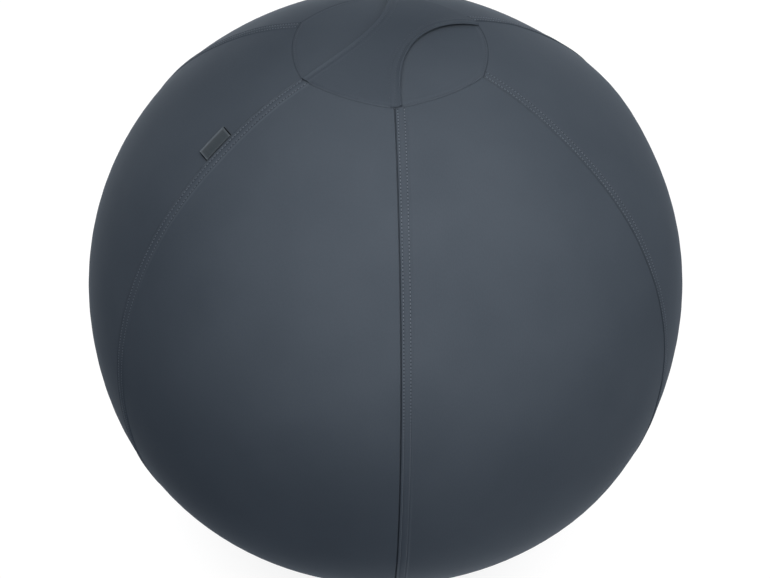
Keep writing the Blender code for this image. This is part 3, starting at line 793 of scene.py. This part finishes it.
# Cap stitching: one row of polyester thread close to the cap's seam, through the edge folded under it.
# It is left out where the handle covers it.
HANDLE_COVER = math.radians(35)
ring_angle = CAP_ANGLE - CAP_STITCH_INSET / BALL_RADIUS
ring_pitch = STITCH_PITCH / (BALL_RADIUS * math.sin(ring_angle))
quarter_turn = Matrix.Rotation(math.pi / 2, 4, "Z")
spots = []
for count in range(round(math.tau / ring_pitch)):
    azimuth = count * ring_pitch
    from_handle = abs(math.remainder(azimuth - STRAP_AZIMUTH, math.pi))
    if from_handle > HANDLE_COVER:
        angle = ring_angle * cap_edge(azimuth) / CAP_ANGLE
        spots.append(on_ball(azimuth, angle, cap_lift(CAP_STITCH_INSET)) @ quarter_turn)
cap_stitching = copies_of(stitch, "cap_stitching", spots, threads["plain"])
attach(cap_stitching, "seat")

# Label: a short satin tape, folded double, whose two ends are caught in the left seam.
# It lies on the left panel, and nothing is printed on it.
LABEL_LENGTH = 0.032
# The under layer reaches past the top one at each end, to show its black back there as painted shadow.
LABEL_END_STEP = 0.0013
LABEL_STEP_START = 0.8
LABEL_STEP_SPAN = 0.4
LABEL_TAPE = 0.0004
LABEL_FOLD = 0.0010
LABEL_REST = 0.0003
LABEL_FOLD_DISTANCE = 0.0148
LABEL_FOLD_STEPS = 8
# Distance from the seam and height of the tape's corners: under its fold, and over it from its top
LABEL_UNDER = ((0.0002, 0.0008), (0.0010, 0.0006), (0.0030, LABEL_REST), (0.0090, LABEL_REST))
LABEL_OVER = ((0.0090, 0.0002), (0.0030, 0.0001), (0.0012, -0.0003), (0.0003, -0.0009))
LABEL_ROWS = 24
# Two tones, roughness and specular level of each side
LABEL_FACES = {
    # The back's near-black tones are painted shadow, seen where the tape's ends stand open.
    "woven_satin_back_painted_shadow": ("#101215", "#15181C", 0.70, 0.05),
    "woven_satin": ("#31383D", "#3F474D", 0.48, 0.15),
}
# Partly a woven border and partly painted highlight, where the fold and the ends catch the light
LABEL_BORDER_AND_HIGHLIGHT = "#575F66"
LABEL_BORDER_AND_HIGHLIGHT_WIDTH = 0.0022
LABEL_RIB = 0.0009
LABEL_STREAKS_PER_METRE = 24
LABEL_RELIEF = 0.0001
LABEL_RELIEF_STRENGTH = 0.7
label_joint = next(j for j in frame["joints"] if j["name"] == "label_flap")
label_out = (Vector(label_joint["pos_m"]) - BALL_CENTRE).normalized()
label_drop = BALL_RADIUS * (math.acos(label_out.z) - CAP_ANGLE)
fold_turns = [math.pi * i / LABEL_FOLD_STEPS - math.pi / 2 for i in range(LABEL_FOLD_STEPS + 1)]
label_top = LABEL_REST + 2 * LABEL_FOLD
label_path = list(LABEL_UNDER)
for turn in fold_turns:
    fold_height = LABEL_REST + LABEL_FOLD * (1 + math.sin(turn))
    label_path.append((LABEL_FOLD_DISTANCE + LABEL_FOLD * math.cos(turn), fold_height))
label_path += [(distance, label_top + rise) for distance, rise in LABEL_OVER]
label_steps = [math.dist(a, b) for a, b in zip(label_path, label_path[1:])]
label_spans = [sum(label_steps[:i]) for i in range(len(label_path))]
label_middle = label_spans[-1] / 2


def on_label(column, row):
    """A corner of the label's tape, and where it lies in the cut."""
    distance, height = label_path[column]
    share = row / (LABEL_ROWS - 1) - 0.5
    over = (label_spans[column] / label_middle - LABEL_STEP_START) / LABEL_STEP_SPAN
    drop = label_drop - (LABEL_LENGTH + 2 * LABEL_END_STEP * (1 - smooth(over))) * share
    ring = ring_at(drop)
    width = ring * GORE_SPAN
    lift = max(gore_lift(width - distance, width, drop), 0) + height
    out = out_of_ball(-GORE_SPAN - distance / ring, CAP_ANGLE + drop / BALL_RADIUS)
    spot = BALL_CENTRE + out * (BALL_RADIUS + lift)
    return spot, (label_spans[column] - label_middle, LABEL_LENGTH * share)


label = laid_cloth("label_tape", len(label_path), LABEL_ROWS, on_label)
# Woven satin: smooth floats with fine ribs across the tape, drawn coarser than their real 0.3 mm so that
# they show, and a paler band along its ends and its fold, partly a woven border and partly painted
# highlight. Its back is painted near black, as painted shadow where the fold stands open at its ends.
satins = {}
for satin_name, (dark, light, roughness, shine) in LABEL_FACES.items():
    satin, tree, shader = new_finish(satin_name, Roughness=roughness, Specular_IOR_Level=shine)
    satins[satin_name] = satin
    cut = add_node(tree, "UVMap", uv_map="cut")
    fineness = (LABEL_STREAKS_PER_METRE, 1 / LABEL_RIB, 1)
    rib = add_node(tree, "Mapping", {"Vector": cut, "Scale": fineness})
    weave = add_node(tree, "TexNoise", {"Vector": rib, "Scale": 1.0, "Detail": 2.0})
    tone = add_node(tree, "Mix", {0: weave, 6: tint(dark), 7: tint(light)}, data_type="RGBA")
    set_inputs(shader, {"Base Color": tone})
around, along, _ = add_node(tree, "SeparateXYZ", {0: cut}).outputs
from_middle = add_node(tree, "Math", {0: along}, operation="ABSOLUTE")
from_fold = add_node(tree, "Math", {0: around}, operation="ABSOLUTE")
label_half = LABEL_LENGTH / 2
# Woven border and painted highlight: a paler band along the tape's ends and its fold.
at_end = add_node(tree, "MapRange", {0: from_middle, 1: label_half - LABEL_BORDER_AND_HIGHLIGHT_WIDTH, 2: label_half})
at_fold = add_node(tree, "MapRange", {0: from_fold, 1: 2 * LABEL_BORDER_AND_HIGHLIGHT_WIDTH, 2: LABEL_BORDER_AND_HIGHLIGHT_WIDTH})
border_and_highlight = add_node(tree, "Math", {0: at_end, 1: at_fold}, operation="MAXIMUM")
tone = add_node(tree, "Mix", {0: border_and_highlight, 6: tone, 7: tint(LABEL_BORDER_AND_HIGHLIGHT)}, data_type="RGBA")
relief = add_node(
    tree, "Bump", {"Height": weave, "Distance": LABEL_RELIEF, "Strength": LABEL_RELIEF_STRENGTH}
)
set_inputs(shader, {"Base Color": tone, "Normal": relief})
thicken(label, LABEL_TAPE, satins["woven_satin"], satins["woven_satin_back_painted_shadow"])
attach(label, "label")
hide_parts("label")

# Zip tapes: two bands of woven polyester sewn inside the edges of the cover and of the base panel.
# They meet at the zip's middle line, and each carries one row of the coil.
flap_joint = next(j for j in frame["joints"] if j["name"] == "base_flap")
ZIP_ANGLE = math.acos((flap_joint["pos_m"][2] - BALL_CENTRE.z) / BALL_RADIUS)
TAPE_WIDTH = 0.0120
TAPE_EDGE = 0.0011
TAPE_DEPTH = 0.0023
TAPE_THICKNESS = 0.0006
TAPE_STEPS = 192
TAPE_ROWS = 6
TAPE_TONES = ("#1E2226", "#2A2F34")
TAPE_YARN = 0.0008
TAPE_RELIEF = 0.0002
# Woven polyester tape: dull, with close yarns, drawn coarser than their real 0.3 mm so that they show.
zip_tape = mottled_finish(
    "woven_zip_tape",
    TAPE_YARN,
    TAPE_TONES,
    detail=2.0,
    relief=(TAPE_RELIEF, 0.7),
    Roughness=0.9,
    Specular_IOR_Level=0.10,
    Sheen_Weight=0.2,
)


def ball_profile(angles, lift):
    """Profile points on the round ball at these angles from the top, lifted off it."""
    reach = BALL_RADIUS + lift
    return [(reach * math.sin(a), BALL_CENTRE.z + reach * math.cos(a)) for a in angles]


for tape_name, body, side in (("cover", "ball", -1), ("base", "base", 1)):
    near = ZIP_ANGLE + side * TAPE_EDGE / BALL_RADIUS
    far = near + side * TAPE_WIDTH / BALL_RADIUS
    tape_angles = [near + (far - near) * i / TAPE_ROWS for i in range(TAPE_ROWS + 1)]
    tape = turned("tape_" + tape_name, ball_profile(tape_angles, -TAPE_DEPTH), TAPE_STEPS)
    thicken(tape, TAPE_THICKNESS, zip_tape)
    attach(tape, body)
    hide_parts("zip_tape_" + tape_name)

# Zip coil: nylon wire wound into two rows of loops, sewn to the tapes and closed into each other.
# One loop is modelled as a flattened bead of wire, and the rest are its copies round the ring. The
# slider's travel of 8/9 turn is a whole number of loops, so that it sits on them alike at both ends.
LOOP_PITCH = 0.0016
TRAVEL_PARTS = 9
LOOP_WIDTH = 0.00078
LOOP_HEIGHT = 0.0016
LOOP_LENGTH = 0.0036
LOOP_MIDDLE = 0.0011
COIL_DEPTH = 0.0011
LOOP_SHIFT = 0.25
COIL_TONES = ("#15181B", "#22262A")
COIL_MOTTLE = 0.004
# Nylon wire: drawn smooth, almost black, with a gloss that varies a little from loop to loop.
nylon = mottled_finish("nylon_coil", COIL_MOTTLE, COIL_TONES, gloss=(0.30, 0.48))
loop = bead(segments=8, rings=6, size=(LOOP_WIDTH, LOOP_LENGTH, LOOP_HEIGHT))
zip_ring = math.tau * BALL_RADIUS * math.sin(ZIP_ANGLE)
loop_count = TRAVEL_PARTS * round(zip_ring / LOOP_PITCH / TRAVEL_PARTS)
for row_name, body, side in (("cover", "ball", -1), ("base", "base", 1)):
    angle = ZIP_ANGLE + side * LOOP_MIDDLE / BALL_RADIUS
    shift = LOOP_SHIFT * side
    spots = [
        on_ball((i + shift) * math.tau / loop_count, angle, -COIL_DEPTH) for i in range(loop_count)
    ]
    coil = copies_of(loop, "coil_" + row_name, spots, nylon)
    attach(coil, body)
    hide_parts("zip_coil_" + row_name)

# Stops, slider and pull: pressed and cast zinc with a dull gunmetal plating.
# The stops are clamped on the coil, the slider runs between them and the pull swings in its bail.
GUNMETAL_TONES = ("#4C5054", "#6B6F73")
GUNMETAL_MOTTLE = 0.0025
FLAT_LIMIT = math.radians(2)
CAST_EDGE = math.radians(30)
ROUND_EDGE = math.radians(40)
EDGE_SEGMENTS = 3
# The piece made from each solid, its body, and the width of its rounded edges
ZIP_METAL_NODES = {
    "zip_stop_left": ("stop_left", "ball", 0.0002),
    "zip_stop_right": ("stop_right", "ball", 0.0002),
    "zip_slider": ("slider", "slider", 0.00022),
    "zip_pull": ("pull_tab", "pull", 0.00022),
}
# Gunmetal plating: thin nickel on cast zinc, dull where it was tumbled and brighter where it is handled.
gunmetal = mottled_finish(
    "gunmetal_plating", GUNMETAL_MOTTLE, GUNMETAL_TONES, detail=4.0, gloss=(0.28, 0.46), Metallic=1.0
)


def soften(obj, width, sharp):
    """Round the edges of a piece that are at least this sharp, and shade it smooth."""
    rounding = obj.modifiers.new("rounding", "BEVEL")
    rounding.width = width
    rounding.segments = EDGE_SEGMENTS
    rounding.limit_method = "ANGLE"
    rounding.angle_limit = sharp
    bpy.ops.object.modifier_apply(modifier=rounding.name)
    bpy.ops.object.shade_smooth_by_angle(angle=ROUND_EDGE)


def bevelled_copy(node, name, width):
    """A copy of a solid with its flat faces made whole and its sharp edges rounded."""
    bpy.ops.object.select_all(action="DESELECT")
    obj = bpy.data.objects.new(name, frame["nodes"][node].data.copy())
    scene.collection.objects.link(obj)
    bpy.context.view_layer.objects.active = obj
    obj.select_set(True)
    bpy.ops.object.mode_set(mode="EDIT")
    bpy.ops.mesh.select_all(action="SELECT")
    bpy.ops.mesh.remove_doubles(threshold=MERGE_DISTANCE)
    bpy.ops.mesh.dissolve_limited(angle_limit=FLAT_LIMIT)
    bpy.ops.object.mode_set(mode="OBJECT")
    soften(obj, width, CAST_EDGE)
    obj.data.materials.clear()
    return obj


for node, (piece_name, body, width) in ZIP_METAL_NODES.items():
    piece = bevelled_copy(node, piece_name, width)
    piece.data.materials.append(gunmetal)
    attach(piece, body)
    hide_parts(node)

# Base panel: a round of heavy coated Oxford cloth under the ball, flat where it stands on the floor.
# Its edge is sewn to the zip's lower tape, and rings of stitches hold the ballast sleeve inside it.
BASE_EDGE_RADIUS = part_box("base_panel")[1].x
CONTACT_RADIUS = math.sqrt(BALL_RADIUS**2 - BALL_CENTRE.z**2)
BASE_THICKNESS = 0.0018
BASE_STEPS = 144
BASE_RINGS = 16
BASE_DARK = "#262B30"
BASE_LIGHT = "#343A41"
OXFORD_YARN = 0.0014
OXFORD_RELIEF = 0.0003
# The distance from band to band of a wave texture at a scale of 1
WAVE_PERIOD = math.pi / 10
base_edge = math.pi - math.asin(BASE_EDGE_RADIUS / BALL_RADIUS)
contact_angle = math.pi - math.asin(CONTACT_RADIUS / BALL_RADIUS)
base_profile = [(CONTACT_RADIUS * i / BASE_RINGS, 0) for i in range(BASE_RINGS)]
base_profile += ball_profile(
    [contact_angle + (base_edge - contact_angle) * i / BASE_RINGS for i in range(BASE_RINGS + 1)], 0
)
base = turned("base_cloth", base_profile, BASE_STEPS)
flat_cut(base)
# Oxford cloth: thick yarns in a basket weave, drawn coarser than the real 0.6 mm so that they show.
oxford, tree, shader = new_finish(
    "oxford_cloth", Roughness=0.78, Specular_IOR_Level=0.15, Sheen_Weight=0.15
)
cut = add_node(tree, "UVMap", uv_map="cut")
warp, weft = (
    add_node(
        tree,
        "TexWave",
        {"Vector": cut, "Scale": WAVE_PERIOD / OXFORD_YARN, "Distortion": 0.6, "Detail": 1.0},
        bands_direction=direction,
    ).outputs[1]
    for direction in ("X", "Y")
)
basket = add_node(tree, "Math", {0: warp, 1: weft}, operation="MULTIPLY")
tone = add_node(tree, "Mix", {0: basket, 6: tint(BASE_DARK), 7: tint(BASE_LIGHT)}, data_type="RGBA")
relief = add_node(tree, "Bump", {"Height": basket, "Distance": OXFORD_RELIEF, "Strength": 0.6})
set_inputs(shader, {"Base Color": tone, "Normal": relief})
thicken(base, BASE_THICKNESS, oxford)
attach(base, "base")
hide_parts("base_panel")

# Hem stitching: rows of thread round the zip, in the cover's hem and in the edge of the base panel,
# and the two rings through the base panel that hold the ballast sleeve.
HEM_STITCH_INSET = 0.0030
SLEEVE_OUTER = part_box("ballast_sleeve")[1].x
SLEEVE_INNER = 0.0157
SLEEVE_HEM = 0.0050
FLOOR_STITCH_LIFT = 0.0001


def ring_spots(angle, lift):
    """Spots for a ring of stitches round the ball at an angle from the top."""
    count = round(math.tau * BALL_RADIUS * math.sin(angle) / STITCH_PITCH)
    return [on_ball(i * math.tau / count, angle, lift) @ quarter_turn for i in range(count)]


def floor_spots(radius):
    """Spots for a ring of stitches on the underside of the base panel's flat middle."""
    count = round(math.tau * radius / STITCH_PITCH)
    first = Matrix.Translation((radius, 0, FLOOR_STITCH_LIFT))
    return [Matrix.Rotation(i * math.tau / count, 4, "Z") @ first for i in range(count)]


inset_angle = HEM_STITCH_INSET / BALL_RADIUS
cover_hem_spots = ring_spots(HEM_ANGLE - inset_angle, 0)
base_hem_spots = ring_spots(base_edge + inset_angle, 0)
base_hem_spots += floor_spots(SLEEVE_OUTER - SLEEVE_HEM / 2)
base_hem_spots += floor_spots(SLEEVE_INNER + SLEEVE_HEM / 2)
# Both hems are sewn with the thread painted lighter, as painted highlight.
for body, name, spots in (
    ("ball", "cover_hem_stitching", cover_hem_spots),
    ("base", "base_hem_stitching", base_hem_spots),
):
    piece = copies_of(stitch, name, spots, threads["light"])
    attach(piece, body)

# Ballast: a ring of dry sand, which keeps the ball from rolling away when nobody sits on it.
# It is lumpy, as loose sand in a sewn ring settles.
BALLAST_LOW, BALLAST_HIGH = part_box("ballast_ring")
BALLAST_INNER = 0.022
BALLAST_STEPS = 96
BALLAST_LUMP = 0.0006
BALLAST_LUMP_SIZE = 0.014
BALLAST_FOOT = 0.003
SECTION_STEPS = 14
SAND_DARK = "#7A6F5F"
SAND_LIGHT = "#A2977F"
SAND_GRAIN = 0.0009
SAND_RELIEF = 0.0003
ballast_middle = (BALLAST_INNER + BALLAST_HIGH.x) / 2
ballast_half = (BALLAST_HIGH.x - BALLAST_INNER) / 2
ballast_height = BALLAST_HIGH.z - BALLAST_LOW.z


def arch_profile(half_width, height, foot, steps):
    """Points of an arched section over the ballast's middle, from its inner foot to its outer one."""
    turns = [math.pi * (1 - i / steps) for i in range(steps + 1)]
    return [(ballast_middle + half_width * math.cos(t), foot + height * math.sin(t)) for t in turns]


ballast_profile = arch_profile(ballast_half, ballast_height, BALLAST_LOW.z, SECTION_STEPS)
ballast_profile += [
    (ballast_middle + ballast_half * (1 - 2 * i / SECTION_STEPS), BALLAST_LOW.z)
    for i in range(1, SECTION_STEPS + 1)
]
ballast = turned("ballast_sand", ballast_profile, BALLAST_STEPS)
for vertex in ballast.data.vertices:
    above_foot = smooth((vertex.co.z - BALLAST_LOW.z) / BALLAST_FOOT)
    vertex.co.z -= above_foot * BALLAST_LUMP * (1 + noise.noise(vertex.co / BALLAST_LUMP_SIZE))
bpy.ops.object.shade_smooth()
# Dry sand: pale and dark grains of about half a millimetre, drawn a little larger.
sand, tree, shader = new_finish("dry_sand", Roughness=0.95)
place = add_node(tree, "TexCoord").outputs["Object"]
depth, speckle, *_ = add_node(tree, "TexVoronoi", {"Vector": place, "Scale": 1 / SAND_GRAIN}).outputs
tone = add_node(tree, "Mix", {0: speckle, 6: tint(SAND_DARK), 7: tint(SAND_LIGHT)}, data_type="RGBA")
relief = add_node(tree, "Bump", {"Height": depth, "Distance": SAND_RELIEF, "Strength": 0.8})
set_inputs(shader, {"Base Color": tone, "Normal": relief})
ballast.data.materials.append(sand)
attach(ballast, "base")
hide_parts("ballast_ring")

# Ballast sleeve: a ring of plain cotton cloth over the sand, hemmed down inside and outside it.
# It is drawn in with small gathers where the flat cloth follows the ring.
SLEEVE_THICKNESS = 0.0008
SLEEVE_CLEARANCE = 0.0003
SLEEVE_STEPS = 180
SLEEVE_HEM_STEPS = 4
SLEEVE_GATHERS = 30
GATHER_HEIGHT = 0.0004
GATHER_WANDER = 0.03
SLEEVE_TONES = ("#353B42", "#434A52")
SLEEVE_YARN = 0.0010
SLEEVE_RELIEF = 0.0002
sleeve_foot = BALLAST_LOW.z
sleeve_half = ballast_half + SLEEVE_CLEARANCE
hem_steps = [SLEEVE_HEM * i / SLEEVE_HEM_STEPS for i in range(SLEEVE_HEM_STEPS)]
sleeve_profile = [(SLEEVE_INNER + step, sleeve_foot) for step in hem_steps]
sleeve_profile += arch_profile(
    sleeve_half, ballast_height + SLEEVE_CLEARANCE, sleeve_foot, 2 * SECTION_STEPS
)
sleeve_profile += [(SLEEVE_OUTER - step, sleeve_foot) for step in reversed(hem_steps)]
sleeve = turned("ballast_cover", sleeve_profile, SLEEVE_STEPS)
for vertex in sleeve.data.vertices:
    turn = math.atan2(vertex.co.y, vertex.co.x)
    height = (vertex.co.z - sleeve_foot) / ballast_height
    gather = math.sin(SLEEVE_GATHERS * turn + 2 * noise.noise(vertex.co / GATHER_WANDER))
    vertex.co.z -= GATHER_HEIGHT * height * (1 - height) * 4 * (0.5 + 0.5 * gather)
# Plain cotton: a dull weave with uneven yarns, drawn coarser than their real 0.4 mm so that they show.
cotton = mottled_finish(
    "plain_cotton",
    SLEEVE_YARN,
    SLEEVE_TONES,
    relief=(SLEEVE_RELIEF, 0.6),
    Roughness=0.9,
    Specular_IOR_Level=0.10,
    Sheen_Weight=0.2,
)
thicken(sleeve, SLEEVE_THICKNESS, cotton, offset=1)
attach(sleeve, "base")
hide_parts("ballast_sleeve")

# Inner ball: blown vinyl, as large as the cover lets it be, flat where it sits on the ballast.
# Fine ribs run round its foot, and a hole in the middle holds the valve.
VINYL_LIFT = -0.0046
VINYL_WALL = 0.0010
VINYL_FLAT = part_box("inner_ball")[0].z
VALVE_HOLE = 0.0068
VINYL_STEPS = 144
VINYL_RINGS = 72
RIB_RADII = (0.080, 0.086, 0.092, 0.098, 0.104)
RIB_HALF = 0.0010
RIB_HEIGHT = 0.0006
FOOT_RINGS = (0.050, 0.020)
VINYL_TONES = ("#686F76", "#787F86")
VINYL_HAZE = 0.060
VINYL_PEEL = 0.0030
PEEL_DEPTH = 0.0001
PEEL_STRENGTH = 0.3
flat_angle = math.acos((VINYL_FLAT - BALL_CENTRE.z) / (BALL_RADIUS + VINYL_LIFT))
vinyl_profile = ball_profile([flat_angle * i / VINYL_RINGS for i in range(VINYL_RINGS + 1)], VINYL_LIFT)
for rib in reversed(RIB_RADII):
    vinyl_profile += [
        (rib + RIB_HALF, VINYL_FLAT),
        (rib + RIB_HALF / 2, VINYL_FLAT - RIB_HEIGHT),
        (rib - RIB_HALF / 2, VINYL_FLAT - RIB_HEIGHT),
        (rib - RIB_HALF, VINYL_FLAT),
    ]
vinyl_profile += [(radius, VINYL_FLAT) for radius in (*FOOT_RINGS, VALVE_HOLE)]
vinyl_ball = turned("vinyl_ball", vinyl_profile, VINYL_STEPS)
# Soft vinyl: dip-moulded, with a satin gloss, faint cloudiness and a skin like fine orange peel.
vinyl = mottled_finish("soft_vinyl", VINYL_HAZE, VINYL_TONES, gloss=(0.36, 0.50), IOR=1.53)
tree = vinyl.node_tree
place = add_node(tree, "TexCoord").outputs["Object"]
peel = add_node(tree, "TexNoise", {"Vector": place, "Scale": 1 / VINYL_PEEL, "Detail": 1.0})
skin = add_node(tree, "Bump", {"Height": peel, "Distance": PEEL_DEPTH, "Strength": PEEL_STRENGTH})
set_inputs(tree.nodes["Principled BSDF"], {"Normal": skin})
thicken(vinyl_ball, VINYL_WALL, vinyl)
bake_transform(vinyl_ball)
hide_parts("inner_ball")

# Valve seat: a collar of harder vinyl with a flange, moulded in one piece.
# Its flange is welded to the inside of the ball round the hole, so that air can't pass beside it.
VALVE_BORE_RADIUS = 0.0050
VALVE_COLLAR_RADIUS = 0.0065
VALVE_FLANGE_RADIUS, _, VALVE_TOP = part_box("valve_seat")[1]
FLANGE_RISE = 0.0013
FLANGE_THICKNESS = 0.0012
FLANGE_LOW = VINYL_FLAT + FLANGE_RISE
FLANGE_HIGH = FLANGE_LOW + FLANGE_THICKNESS
VALVE_STEPS = 64
VALVE_ROUNDING = 0.0003
VALVE_TONES = ("#292D31", "#363B40")
VALVE_MOTTLE = 0.005
seat = turned(
    "valve_collar",
    [
        (VALVE_BORE_RADIUS, VALVE_TOP),
        (VALVE_COLLAR_RADIUS, VALVE_TOP),
        (VALVE_COLLAR_RADIUS, FLANGE_HIGH),
        (VALVE_FLANGE_RADIUS, FLANGE_HIGH),
        (VALVE_FLANGE_RADIUS, FLANGE_LOW),
        (VALVE_COLLAR_RADIUS, FLANGE_LOW),
        (VALVE_COLLAR_RADIUS, VINYL_FLAT),
        (VALVE_BORE_RADIUS, VINYL_FLAT),
        (VALVE_BORE_RADIUS, VALVE_TOP),
    ],
    VALVE_STEPS,
)
soften(seat, VALVE_ROUNDING, ROUND_EDGE)
# Hard vinyl: moulded, nearly black, with a satin gloss that clouds a little.
hard_vinyl = mottled_finish("hard_vinyl", VALVE_MOTTLE, VALVE_TONES, gloss=(0.38, 0.55), IOR=1.53)
seat.data.materials.append(hard_vinyl)
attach(seat, "ball")
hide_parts("valve_seat")

# Valve plug: a stopper of white polyethylene, moulded in one piece.
# It is pushed into the collar, which grips its stem, and pulled out by its round head.
PLUG_LOW, PLUG_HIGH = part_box("valve_plug")
PLUG_STEM = 0.0047
PLUG_TAPER = 0.0015
PLUG_HEAD_GAP = 0.0003
PLUG_HEAD_TOP = VINYL_FLAT - PLUG_HEAD_GAP
PLUG_DIMPLE = 0.0006
PLUG_RIM_SHARE = 0.62
PLUG_DIMPLE_SHARE = 0.52
PLUG_ROUNDING = 0.0004
PLUG_TONES = ("#D2D3D4", "#E0E1E2")
PLUG_MOTTLE = 0.006
plug = turned(
    "valve_stopper",
    [
        (0, PLUG_HIGH.z),
        (PLUG_STEM - PLUG_TAPER, PLUG_HIGH.z),
        (PLUG_STEM, PLUG_HIGH.z - PLUG_TAPER),
        (PLUG_STEM, PLUG_HEAD_TOP),
        (PLUG_HIGH.x, PLUG_HEAD_TOP),
        (PLUG_HIGH.x, PLUG_LOW.z),
        (PLUG_HIGH.x * PLUG_RIM_SHARE, PLUG_LOW.z),
        (PLUG_HIGH.x * PLUG_DIMPLE_SHARE, PLUG_LOW.z + PLUG_DIMPLE),
        (0, PLUG_LOW.z + PLUG_DIMPLE),
    ],
    VALVE_STEPS,
)
soften(plug, PLUG_ROUNDING, ROUND_EDGE)
# Polyethylene: moulded, milky white, with a waxy gloss.
polyethylene = mottled_finish("polyethylene", PLUG_MOTTLE, PLUG_TONES, gloss=(0.34, 0.48), IOR=1.51)
plug.data.materials.append(polyethylene)
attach(plug, "plug")
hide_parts("valve_plug")

# Last, the single stitch and loop that all the others were copied from are taken away.
for pattern in (stitch, loop):
    bpy.data.objects.remove(pattern)
